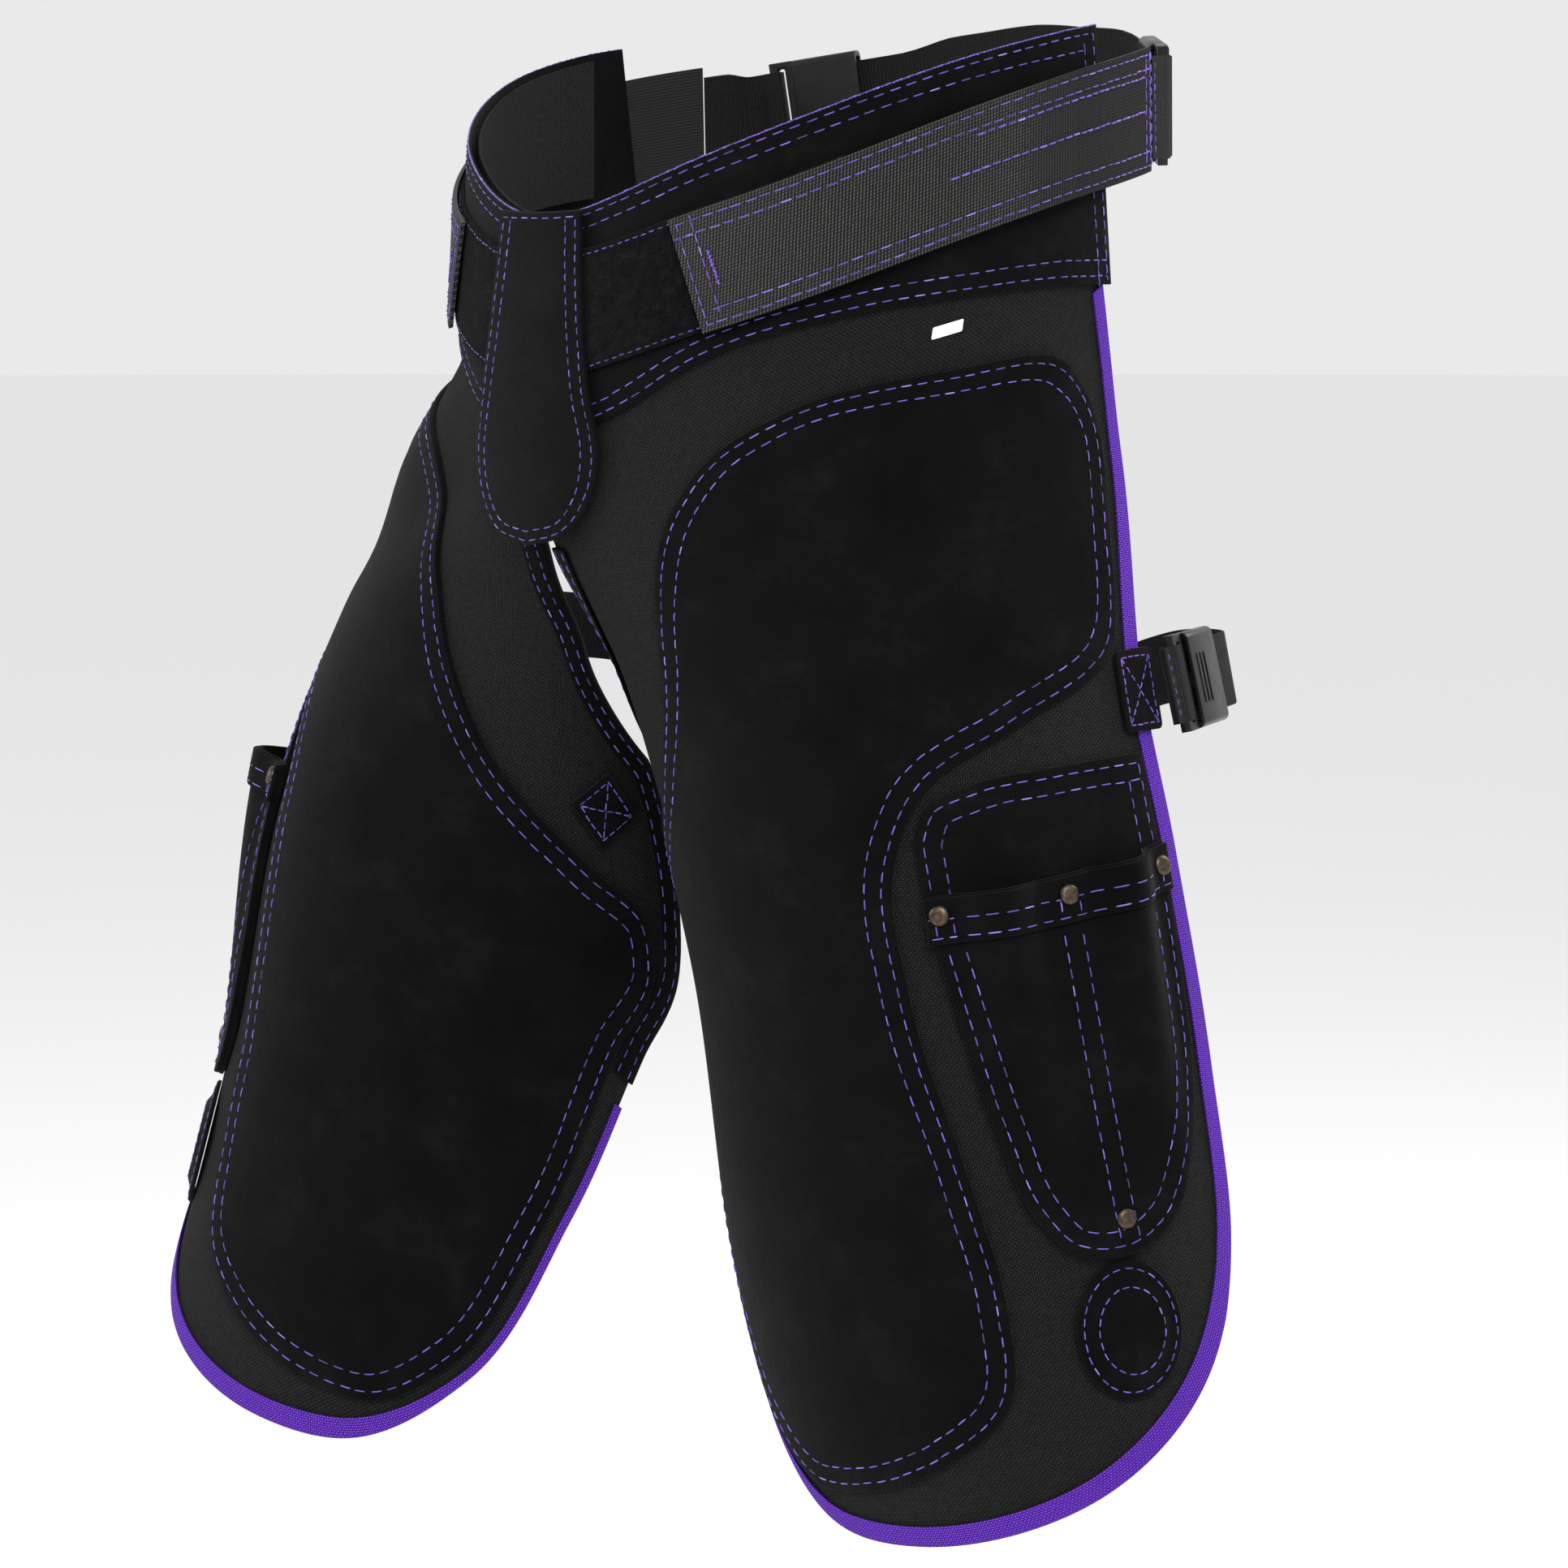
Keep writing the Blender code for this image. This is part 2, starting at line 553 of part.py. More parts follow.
def buckle_female(name, webbing_width, matrix):
    """Sleeve that the prongs enter at one end and the belt's webbing at the other."""
    half = webbing_width / 2 + BUCKLE_BAR
    start = 2 * BUCKLE_BAR + BUCKLE_SLOT + 0.0006
    shell = rounded_box(half, SLEEVE_THICK / 2, 0.003)
    hollow = rounded_box(half - 0.0028, SLEEVE_THICK / 2 - SLEEVE_WALL, 0.001, steps=2)
    lengthwise = Matrix(((0, 0, 1, start), (1, 0, 0, 0), (0, 1, 0, 0), (0, 0, 0, 1)))
    return flat_plate(name, [shell, hollow], SLEEVE_LENGTH, matrix @ lengthwise, "plastic")


def webbing_loop(name, width, reach, place, middle_h):
    """Webbing folded round a buckle's bar, both plies running back for REACH."""
    half, ply_end = PRONG_THICK / 2 + TOUCH, WEBBING + TOUCH / 2
    nose = BUCKLE_BAR + TOUCH
    inner = [(-reach, TOUCH / 2), (-0.009, TOUCH / 2), (-0.001, half), (nose, half)]
    outer = [(-reach, ply_end), (-0.010, ply_end), (-0.002, half + WEBBING),
             (nose, half + WEBBING), (nose + WEBBING, half)]
    outline = outer + [(x, -h) for x, h in reversed(outer)]
    outline += [(x, -h) for x, h in inner] + inner[::-1]
    bm = flat_solid([outline], width)
    crease(bm, (BELT_GRID, 0.0))
    for vertex in bm.verts:
        x, h, across = vertex.co
        vertex.co = (x, across - width / 2, h)
    lay(bm, place, middle_h)
    return bmesh_object(name, bm, "webbing")


def buckle_frame(place, middle_h):
    """Matrix of a buckle whose front is at x = 0 of a strap's run, level with the run at its middle."""
    return local_frame(place, BUCKLE_MID, 0.0, middle_h) @ Matrix.Translation((-BUCKLE_MID, 0, 0))


# ---------------------------------------------------------------- waist
def arc(degrees):
    return math.radians(degrees) * WAIST_MEAN


def yoke_run(points, low_deg, high_deg, count=24):
    table = np.array(points)
    degrees = np.linspace(low_deg, high_deg, count)
    t = hermite(table[:, 0], table[:, 1], np.abs(degrees), 0.0)
    return [(arc(d), float(value)) for d, value in zip(degrees, t)]


def make_waist():
    end_top, end_low = YOKE_TOP[-1][0], YOKE_LOW[-1][0]
    yoke = yoke_run(YOKE_TOP, -end_top, end_top) + yoke_run(YOKE_LOW, end_low, -end_low)
    laid_slab("yoke", yoke, YOKE_H, SUEDE, waist_place, "suede")
    inside = end_top - LINING_SHORT_DEG
    lining = [(a, t + LINING_INSET) for a, t in yoke_run(YOKE_TOP, -inside, inside)]
    lining += [(a, min(LINING_LOW_T, t + LINING_DEPTH)) for a, t in reversed(lining)]
    laid_slab("yoke_lining", lining, LINING_H, CANVAS, waist_place, "canvas")
    strip_end = arc(52)
    strip = [(-strip_end, BELT_WIDTH / 2), (strip_end, BELT_WIDTH / 2),
             (strip_end, -BELT_WIDTH / 2), (-strip_end, -BELT_WIDTH / 2)]
    laid_slab("loop_strip", strip, LOOP_H, LOOP_THICK, belt_place(1), "plush", (GRID_ACROSS, 0.03))


def make_belt_side(label, side):
    place = belt_place(side)
    half = BELT_WIDTH / 2
    top, low, seam = arc(TAB_TOP_DEG), arc(TAB_LOW_DEG), arc(TAB_SEAM_DEG)
    tab = [(top, -half), (seam, -half), (seam, half), (low, half)]
    laid_slab(f"{label}_hook_tab", tab, TAB_H, TAB_THICK, place, "elastic", (GRID_ACROSS, 0.03))
    hook_end, inner = arc(HOOK_END_DEG), half - TAB_INSET
    hook = [(top + 1.5 * TAB_INSET, -inner), (hook_end, -inner), (hook_end, inner), (low + TAB_INSET, inner)]
    laid_slab(f"{label}_hook_tape", hook, HOOK_H, HOOK_THICK, place, "plush", (GRID_ACROSS, 0.03))

    run = back_belt_run(side)
    matrix = buckle_frame(run, BELT_H)
    buckle_male(f"{label}_waist_buckle_male", BACK_BELT_WIDTH, matrix)
    buckle_female(f"{label}_waist_buckle_female", BACK_BELT_WIDTH, matrix)
    webbing_loop(f"{label}_webbing_loop", BACK_BELT_WIDTH - 0.001, BUCKLE_A - seam - 0.0012, run, BELT_H)


def make_back_belt():
    """Webbing from inside one buckle sleeve, round the back, into the other."""
    half = BACK_BELT_WIDTH / 2 - 0.001
    far = BELT_RUN - STRAP_START
    outline = [(STRAP_START, -half), (far, -half), (far, half), (STRAP_START, half)]
    laid_slab("back_belt", outline, BELT_H - WEBBING / 2, WEBBING, back_belt_place, "webbing",
              (BELT_GRID, 0.0))


def flap_lift(a, t):
    """The flap's lower end leans in where the legs part."""
    return -FLAP_LEAN_IN * smoothstep(0.03, 0.17, t)


def make_fly_flap():
    """Suede tongue that hangs over the front seam, with a round lower end."""
    low = FLAP_TOP_T + FLAP_LENGTH_T
    right = [(FLAP_TOP_HALF, FLAP_TOP_T), (0.034, -0.020), (0.041, 0.050),
             (FLAP_LOW_HALF, 0.105), (0.044, low - 0.034), (0.027, low - 0.008), (0.0, low)]
    half = smooth_run(right, 0.016)
    outline = [tuple(p) for p in half] + [(-a, t) for a, t in reversed(half[:-1])]
    laid_slab("fly_flap", outline, FLAP_H, SUEDE, waist_place, "suede", swell=flap_lift)


# ---------------------------------------------------------------- legs
def centre_seam_s(side, t):
    """Where the panel's front edge runs just beside the middle of the body."""
    out, _, _, across, deep, turn, _, splay = ring_at(side, t)
    beside = SEAM_GAP + 0.007 * smoothstep(0.13, 0.21, t) - 0.020 * smoothstep(0.24, 0.34, t)
    angle = -np.arcsin(np.clip((out - beside) / (across * np.cos(np.radians(splay))), -1, 1))
    return (angle - np.radians(turn)) * (across + deep) / 2


def leg_edge(side):
    """The panel's free edge, kept on its own side of the body where the legs meet."""
    edge = smooth_run(OUTER_EDGE, EDGE_SPACING)
    inner = (edge[:, 0] < 0) & (edge[:, 1] < 0.36)
    edge[inner, 0] = np.maximum(edge[inner, 0], centre_seam_s(side, edge[inner, 1]))
    return edge


def canvas_outline(side):
    edge = [tuple(p) for p in leg_edge(side)]
    seam = [(float(centre_seam_s(side, t)), t) for t in (0.145, 0.115, 0.088)]
    top = []
    for degrees in np.linspace(4, 96, 14):
        under = TUCK if degrees < TUCK_END_DEG else -CLEAR_OF_YOKE
        t = float(hermite(YOKE_LOW_DEG, YOKE_LOW_T, degrees)) - under
        turn = math.radians(float(ring_at(side, t)[5]))
        top.append(((math.radians(degrees) - turn) * WAIST_MEAN, t))
    return edge + seam + top


def pocket_swell(s, t):
    """Each pocket's front stands open at its mouth and closes towards its seams."""
    left_s, mid_s, right_s = 0.088, POCKET_DIVIDER_S, 0.209
    u = np.where(s < mid_s, (s - left_s) / (mid_s - left_s), (s - mid_s) / (right_s - mid_s))
    across = np.sin(np.pi * np.clip((u - SEAM_SHARE) / (1 - 2 * SEAM_SHARE), 0, 1))
    down = np.clip((POCKET_BOTTOM_T - 0.012 - t) / (POCKET_BOTTOM_T - 0.36), 0, 1) ** 1.3
    return POCKET_SWELL * across * down


def pocket_front_outline():
    return [tuple(p) for p in smooth_run(POCKET_SIDES, 0.016)] + POCKET_MOUTH


def make_pocket(label, place):
    sides = [tuple(p) for p in smooth_run(POCKET_SIDES, 0.018)]
    laid_slab(f"{label}_pocket_backing", sides + POCKET_TOP, SEWN_H, SUEDE, place, "suede")
    laid_slab(f"{label}_pocket_front", pocket_front_outline(), POCKET_H, SUEDE, place, "suede",
              (POCKET_GRID, POCKET_GRID_DOWN), pocket_swell)
    low = [(s, t + BAND_DEPTH) for s, t in POCKET_MOUTH]
    band = [(s, t + 0.001) for s, t in POCKET_MOUTH] + low[::-1]
    laid_slab(f"{label}_pocket_band", band, BAND_H, BAND_THICK, place, "suede", (POCKET_GRID, 0.0), pocket_swell)
    for number, (s, t) in enumerate(RIVETS, 1):
        base = BAND_H + BAND_THICK if number < len(RIVETS) else POCKET_H + SUEDE
        matrix = local_frame(place, s, t, base + TOUCH + float(pocket_swell(s, t)))
        profile = [(0, 0.0026), (0.0034, 0.0020), (RIVET_RADIUS, 0.0006), (RIVET_RADIUS, 0), (0, 0)]
        turned(f"{label}_rivet_{number}", profile, 12, matrix, "bronze")


def make_magnet(label, place):
    matrix = local_frame(place, *MAGNET_AT, CANVAS + TOUCH)
    magnet = [(0, MAGNET_THICK), (MAGNET_RADIUS, MAGNET_THICK), (MAGNET_RADIUS, 0), (0, 0)]
    turned(f"{label}_magnet", magnet, 20, matrix, "magnet_steel")
    rim, skin = MAGNET_COVER_RADIUS, 0.0015
    cover = [(0, 0.0036 + skin), (0.0260, 0.0036 + skin), (0.0315, 0.0036), (rim, 0.0015), (rim, 0),
             (rim - 0.0015, 0), (0.0300, 0.0024), (0.0252, 0.0036), (0, 0.0036)]
    oval = Matrix.Diagonal((MAGNET_COVER_OVAL, 1, 1, 1))
    turned(f"{label}_magnet_cover", cover, 20, matrix @ oval, "suede")


def make_bindings(label, side, place):
    """Woven tape round the outer edge and hem, then suede from there up to the slit's top."""
    edge = leg_edge(side)
    low = np.argmax(edge[:, 1])
    changeover = low + int(np.argmin(np.abs(edge[low:, 1] - 0.470)))
    first = int(np.argmax(edge[:, 1] > 0.078))
    tape, suede = edge[first:changeover + 1], edge[changeover + 1:]

    def tape_section(u):
        """The front lip narrows past the hem, where the thigh patch covers it."""
        front = BINDING_WIDTH - (BINDING_WIDTH - 0.0030) * float(smoothstep(0.74, 0.84, u))
        return folded_section(front, BINDING_WIDTH, 0.0009)

    edge_binding(f"{label}_outer_binding", tape, tape_section, place, "binding")
    edge_binding(f"{label}_inner_binding", suede,
                 lambda u: folded_section(INNER_BINDING_WIDTH, INNER_BINDING_WIDTH, 0.0010, 0.0014),
                 place, "suede")


def make_leg_strap(label, side, place):
    run = leg_strap_run(side)
    matrix = buckle_frame(run, LEG_STRAP_H)
    tab = rounded_box(STRAP_TAB_HALF, LEG_STRAP_WIDTH / 2 + 0.001, 0.003, (STRAP_TAB_S, LEG_STRAP_T))
    laid_slab(f"{label}_outer_strap_tab", tab, STRAP_TAB_H, SUEDE, place, "suede")
    patch = circle(INNER_PATCH_HALF, 4, INNER_PATCH_AT)
    laid_slab(f"{label}_inner_strap_patch", patch, INNER_PATCH_H, SUEDE, place, "suede")

    buckle_male(f"{label}_leg_buckle_male", LEG_STRAP_WIDTH, matrix)
    buckle_female(f"{label}_leg_buckle_female", LEG_STRAP_WIDTH, matrix)
    webbing_loop(f"{label}_leg_webbing_loop", LEG_STRAP_WIDTH - 0.001, 0.0112, run, LEG_STRAP_H)
    half = LEG_STRAP_WIDTH / 2 - 0.001
    strap = [(STRAP_START, -half), (LEG_STRAP_RUN, -half), (LEG_STRAP_RUN, half), (STRAP_START, half)]
    laid_slab(f"{label}_leg_strap", strap, LEG_STRAP_H - WEBBING / 2, WEBBING, run, "webbing",
              (BELT_GRID, 0.0))


def make_leg(label, side):
    place = leg_place(side)
    laid_slab(f"{label}_canvas_panel", canvas_outline(side), 0.0, CANVAS, place, "canvas")
    laid_slab(f"{label}_thigh_patch", smooth_loop(THIGH_PATCH), SEWN_H, SUEDE, place, "suede")
    make_bindings(label, side, place)
    make_pocket(label, place)
    make_magnet(label, place)
    make_leg_strap(label, side, place)


# ---------------------------------------------------------------- joints
def pivot(name, position, children, parent=None):
    """Empty on a joint's axis, with the pieces that move about it."""
    empty = bpy.data.objects.new(name, None)
    empty.empty_display_size = 0.02
    empty.matrix_world = Matrix.Translation([float(value) for value in position])
    PARTS.objects.link(empty)
    if parent:
        empty.parent = parent
        empty.matrix_parent_inverse = parent.matrix_world.inverted()
    for child in children:
        obj = bpy.data.objects[child]
        placed = obj.matrix_basis.copy()
        obj.parent = empty
        obj.matrix_parent_inverse = empty.matrix_world.inverted()
        obj.matrix_basis = placed
    return empty


def is_leg_part(name):
    waist_words = ("hook", "waist", "_webbing_loop", "leg_buckle_female")
    return "leg_webbing_loop" in name or not any(word in name for word in waist_words)


make_waist()
make_fly_flap()
make_back_belt()
for side_label, side_sign in SIDES.items():
    make_belt_side(side_label, side_sign)
    make_leg(side_label, side_sign)
tag = rounded_box(LABEL_SIZE[0] / 2, LABEL_SIZE[1] / 2, 0.0008, LABEL_AT)
laid_slab("size_label", tag, CANVAS + TOUCH, 0.0004, leg_place(1), "label")

pivot("fly_flap_hinge", waist_place(0.0, FLAP_TOP_T, FLAP_H), ["fly_flap"])
for side_label, side_sign in SIDES.items():
    leg_parts = [obj.name for obj in PARTS.objects if obj.type == "MESH" and not obj.parent
                 and obj.name.startswith(f"{side_label}_") and is_leg_part(obj.name)]
    leg_parts += ["size_label"] if side_label == "left" else []
    hip = pivot(f"{side_label}_hip", LEG_HINGE, leg_parts)
    leg_release = leg_strap_run(side_sign)(STRAP_START, 0.0, LEG_STRAP_H)
    pivot(f"{side_label}_leg_release", leg_release, [f"{side_label}_leg_buckle_female"], hip)
    seam = belt_place(side_sign)(arc(TAB_SEAM_DEG), 0.0, TAB_H + TAB_THICK)
    pivot(f"{side_label}_tab_peel", seam, [f"{side_label}_hook_tab", f"{side_label}_hook_tape"])
    release = back_belt_run(side_sign)(STRAP_START, 0.0, BELT_H)
    pivot(f"{side_label}_waist_release", release, [f"{side_label}_waist_buckle_female"])
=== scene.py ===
import json
import math

import bmesh
import bpy
import numpy as np
from mathutils import Matrix, Vector


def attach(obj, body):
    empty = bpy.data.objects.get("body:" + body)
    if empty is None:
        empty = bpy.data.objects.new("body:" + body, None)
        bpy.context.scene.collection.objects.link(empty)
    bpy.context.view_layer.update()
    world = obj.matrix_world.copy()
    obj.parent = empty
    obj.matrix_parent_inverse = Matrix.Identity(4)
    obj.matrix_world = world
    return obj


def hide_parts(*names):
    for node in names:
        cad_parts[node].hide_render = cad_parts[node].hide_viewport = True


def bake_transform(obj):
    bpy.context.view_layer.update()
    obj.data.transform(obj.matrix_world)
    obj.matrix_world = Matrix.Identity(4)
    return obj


# The looks of the farrier's apron: fine cloth, suede, tapes, buckles and real stitches, laid on the same
# surfaces as the plain solids. Metres, +Z up. The wearer faces -Y, and +X is the wearer's left.
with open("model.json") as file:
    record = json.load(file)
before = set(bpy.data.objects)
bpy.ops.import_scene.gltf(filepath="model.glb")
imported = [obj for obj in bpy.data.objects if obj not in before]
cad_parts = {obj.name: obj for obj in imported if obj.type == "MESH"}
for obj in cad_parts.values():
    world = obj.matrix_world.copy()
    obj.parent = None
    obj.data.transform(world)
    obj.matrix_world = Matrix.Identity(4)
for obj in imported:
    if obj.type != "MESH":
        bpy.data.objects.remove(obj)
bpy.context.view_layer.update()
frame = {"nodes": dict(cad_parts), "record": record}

# ---------------------------------------------------------------- driving dimensions, as in the CAD model
WAIST_ACROSS = 0.190
WAIST_DEEP = 0.178
BACK_RATIO = 0.84
LEG_BACK_RATIO = 0.90
WAIST_MEAN = (WAIST_ACROSS + WAIST_DEEP) / 2
APRON_LENGTH = 0.682
HIP_T = 0.090
MIDPLANE_GAP = 0.008

CANVAS = 0.0012
SUEDE = 0.0018
WEBBING = 0.0015
GAP = 0.0014
TOUCH = 0.0004
SEAM_GAP = 0.0012
TUCK = 0.010

BELT_WIDTH = 0.060
BACK_BELT_WIDTH = 0.050
LEG_STRAP_WIDTH = 0.038
BINDING_WIDTH = 0.009
INNER_BINDING_WIDTH = 0.011
RIVET_RADIUS = 0.005
MAGNET_COVER_RADIUS = 0.033
MAGNET_COVER_OVAL = 0.80
POCKET_SWELL = 0.014

YOKE_H = CANVAS + 0.0015
SEWN_H = CANVAS + GAP
LOOP_H = YOKE_H + SUEDE + TOUCH
LOOP_THICK = 0.0020
HOOK_H = LOOP_H + LOOP_THICK + TOUCH
HOOK_THICK = 0.0010
TAB_H = HOOK_H + HOOK_THICK + TOUCH
TAB_THICK = 0.0022
FLAP_H = LOOP_H + LOOP_THICK + 0.0012
POCKET_H = SEWN_H + SUEDE + TOUCH
STRAP_TAB_H = 0.0035
INNER_PATCH_H = 0.0042
BELT_H = TAB_H + TAB_THICK / 2

TAB_TOP_DEG = 25.5
TAB_LOW_DEG = 32.0
HOOK_END_DEG = 51.0
TAB_INSET = 0.006
TAB_SEAM_DEG = 116.0
BUCKLE_A = math.radians(130.0) * WAIST_MEAN
BELT_RUN = 2 * math.pi * WAIST_MEAN - 2 * BUCKLE_A
STRAP_TAB_S = 0.2115
STRAP_TAB_HALF = 0.0135
LEG_BUCKLE_S = 0.2365
LEG_STRAP_T = 0.260
STRAP_END_T = 0.330
LEG_STRAP_RUN = 0.474
LEG_STRAP_H = 0.0062
BUCKLE_MID = 0.026
WAIST_BEND = 0.187
LEG_BEND = 0.140
LEG_STRAP_DROP = 0.0130
STRAP_START = 0.037

WAIST_RING = (HIP_T, 0.0, 0.0, -0.0743, WAIST_ACROSS, WAIST_DEEP, 31.0, -15.5, 0.0)
WAIST_SLOPE = (0.0, 0.0, -0.857, 0.0, 0.0, -35.7, 50.0, 0.0)
LEG_RINGS = {
    1: [WAIST_RING,
        (0.24, 0.086, -0.006, -0.225, 0.145, 0.148, 13.0, -4.0, 2.0),
        (0.38, 0.135, -0.007, -0.365, 0.132, 0.138, 6.0, 0.0, 6.0),
        (0.52, 0.155, 0.004, -0.498, 0.134, 0.140, 8.0, 0.0, 8.0),
        (0.70, 0.184, 0.028, -0.661, 0.136, 0.142, 10.0, 0.0, 10.0)],
    -1: [WAIST_RING,
         (0.24, 0.114, -0.026, -0.225, 0.156, 0.148, 2.0, 2.0, 4.0),
         (0.38, 0.141, -0.076, -0.360, 0.134, 0.138, -12.0, 14.0, 10.0),
         (0.52, 0.150, -0.100, -0.490, 0.134, 0.140, -24.0, 16.0, 12.0),
         (0.70, 0.170, -0.138, -0.663, 0.136, 0.142, -28.0, 18.0, 14.0)],
}
SIDES = {"left": 1, "right": -1}

OUTER_EDGE = [(0.220, 0.062), (0.234, 0.112), (0.235, 0.155), (0.217, 0.245), (0.222, 0.340),
              (0.222, 0.450), (0.212, 0.537), (0.173, 0.613), (0.108, 0.665), (0.018, APRON_LENGTH),
              (-0.030, 0.672), (-0.082, 0.622), (-0.120, 0.530), (-0.162, 0.437), (-0.184, 0.396),
              (-0.183, 0.362), (-0.165, 0.305), (-0.124, 0.245), (-0.103, 0.195), (-0.098, 0.165)]
THIGH_PATCH = [(0.010, 0.107), (0.042, 0.087), (0.128, 0.085), (0.188, 0.098), (0.214, 0.130),
               (0.212, 0.190), (0.198, 0.238), (0.143, 0.271), (0.096, 0.300), (0.076, 0.340),
               (0.074, 0.400), (0.087, 0.500), (0.091, 0.560), (0.080, 0.615), (0.045, 0.641),
               (-0.005, 0.654), (-0.040, 0.650), (-0.074, 0.618), (-0.106, 0.540), (-0.146, 0.440),
               (-0.170, 0.394), (-0.165, 0.370), (-0.130, 0.350), (-0.078, 0.312), (-0.046, 0.262),
               (-0.028, 0.200), (-0.008, 0.137)]
POCKET_SIDES = [(0.209, 0.335), (0.208, 0.400), (0.205, 0.443), (0.193, 0.493), (0.175, 0.526),
                (0.150, 0.540), (0.126, 0.536), (0.112, 0.515), (0.103, 0.473), (0.095, 0.415),
                (0.088, 0.357)]
POCKET_TOP = [(0.087, 0.325), (0.094, 0.309), (0.115, 0.299), (0.155, 0.293), (0.207, 0.290)]
POCKET_MOUTH = [(0.088, 0.353), (0.153, 0.346), (0.2095, 0.334)]
POCKET_DIVIDER_S = 0.153
POCKET_BOTTOM_T = 0.540
BAND_DEPTH = 0.024
RIVETS = [(0.0945, 0.362), (0.153, 0.356), (0.2035, 0.346), (0.153, 0.521)]
SEAM_SHARE = 0.22
MAGNET_AT = (0.144, 0.579)
INNER_PATCH_AT = (-0.136, 0.321)
INNER_PATCH_HALF = 0.019
LABEL_AT = (0.119, 0.060)
LABEL_SIZE = (0.016, 0.007)

YOKE_TOP = [(0, -0.062), (8, -0.068), (30, -0.090), (66, -0.098), (93, -0.081), (98, -0.077)]
YOKE_LOW = [(0, 0.088), (16, 0.074), (32, 0.043), (54, 0.035), (74, 0.045), (103, 0.069)]
YOKE_LOW_DEG, YOKE_LOW_T = zip(*YOKE_LOW)
BELT_LINE = [(0, 0.004), (32, -0.017), (67, -0.030), (115, -0.013), (132, -0.003), (180, -0.006)]
FLAP_TOP_T, FLAP_LENGTH_T = -0.070, 0.232
FLAP_TOP_HALF, FLAP_LOW_HALF = 0.031, 0.048
FLAP_LEAN_IN = 0.004
THIGH_PUSH = 0.024

# ---------------------------------------------------------------- the looks' own sizes
CELL = 0.008                    # grid of the fine cloth
FINE_CELL = 0.005
OUTLINE_STEP = 0.004
STITCH_PITCH = 0.0082
STITCH_LENGTH = 0.0054
THREAD = 0.00033                # half thickness of the sewing thread
FADE_START_DEG, FADE_END_DEG = 78.0, 93.0     # where the elastic turns black under the webbing
MIDDLE_ROW_DEG, LOWER_ROW_DEG = 68.0, 72.0    # where the hook tab's two long rows start
LOOP_END_DEG = 52.0             # of the loop strip, either side of the front
LINING_IN, LINING_DEPTH, LINING_LOW_T = 0.004, 0.085, 0.016
LINING_H, LINING_THICK = -0.0030, 0.0012
TAPE_START_T = 0.064            # the purple tape starts below the yoke
CHANGEOVER_T = 0.470            # and gives way to suede this far down the inner edge
CAD_SPACING, EDGE_SPACING = 0.015, 0.005      # points along a leg's edge, there and here
MOUTH_ROWS = (0.0115, 0.0210)   # stitched rows below the pocket's mouth
BAND_THICK = 0.0020
MAGNET_FACE, MAGNET_SUEDE = 0.0036, 0.0015
BOX_PITCH, BOX_STITCH = 0.0046, 0.0036        # of the small crossed stitching on the leg straps' ends
DIVIDER_ROW = 0.0045            # a row either side of the pocket's divider
ON_TOP = 0.0002                 # thread or cloth that lies just off the layer below
RIB_PITCH = 0.0016              # of the ribbed elastic
YARN = 0.00115                  # canvas yarn to yarn
LAYERED = 0.0007                # sewn suede reaches down this close to the canvas


# ---------------------------------------------------------------- the body's surface, as in the CAD model
def hermite(xs, ys, x, first_slope=None):
    """Smooth curve through (xs, ys), straight beyond both ends."""
    xs, ys, x = np.asarray(xs, float), np.asarray(ys, float), np.asarray(x, float)
    slope = np.gradient(ys, xs)
    if first_slope is not None:
        slope[0] = first_slope
    i = np.clip(np.searchsorted(xs, x) - 1, 0, len(xs) - 2)
    step = xs[i + 1] - xs[i]
    u = np.clip((x - xs[i]) / step, 0, 1)
    y = ys[i] * (1 + 2 * u) * (1 - u) ** 2 + ys[i + 1] * u * u * (3 - 2 * u)
    y = y + step * slope[i] * u * (1 - u) ** 2 + step * slope[i + 1] * u * u * (u - 1)
    return y + np.minimum(x - xs[0], 0) * slope[0] + np.maximum(x - xs[-1], 0) * slope[-1]


def smoothstep(low, high, x):
    u = np.clip((np.asarray(x, float) - low) / (high - low), 0, 1)
    return u * u * (3 - 2 * u)


def unit(v):
    return v / np.maximum(np.linalg.norm(v, axis=-1, keepdims=True), 1e-12)


def ring_at(side, t):
    """Centre, half sizes, crease turn and tilts of the ring at T; side 0 is the waist's plain cone."""
    if side == 0:
        return [WAIST_RING[k + 1] + WAIST_SLOPE[k] * (np.asarray(t, float) - HIP_T) for k in range(8)]
    rings = np.array(LEG_RINGS[side])
    return [hermite(rings[:, 0], rings[:, k + 1], t, WAIST_SLOPE[k]) for k in range(8)]


def thigh_push(angle, t):
    """How far the thigh that steps forward pushes the cloth out, just below the yoke."""
    turned = np.degrees(angle)
    below = np.asarray(t, float) - hermite(YOKE_LOW_DEG, YOKE_LOW_T, np.clip(turned, 0, 90))
    down = smoothstep(0.010, 0.080, below) * (1 - smoothstep(0.12, 0.22, t))
    return THIGH_PUSH * down * smoothstep(16, 50, turned) * (1 - smoothstep(55, 95, turned))


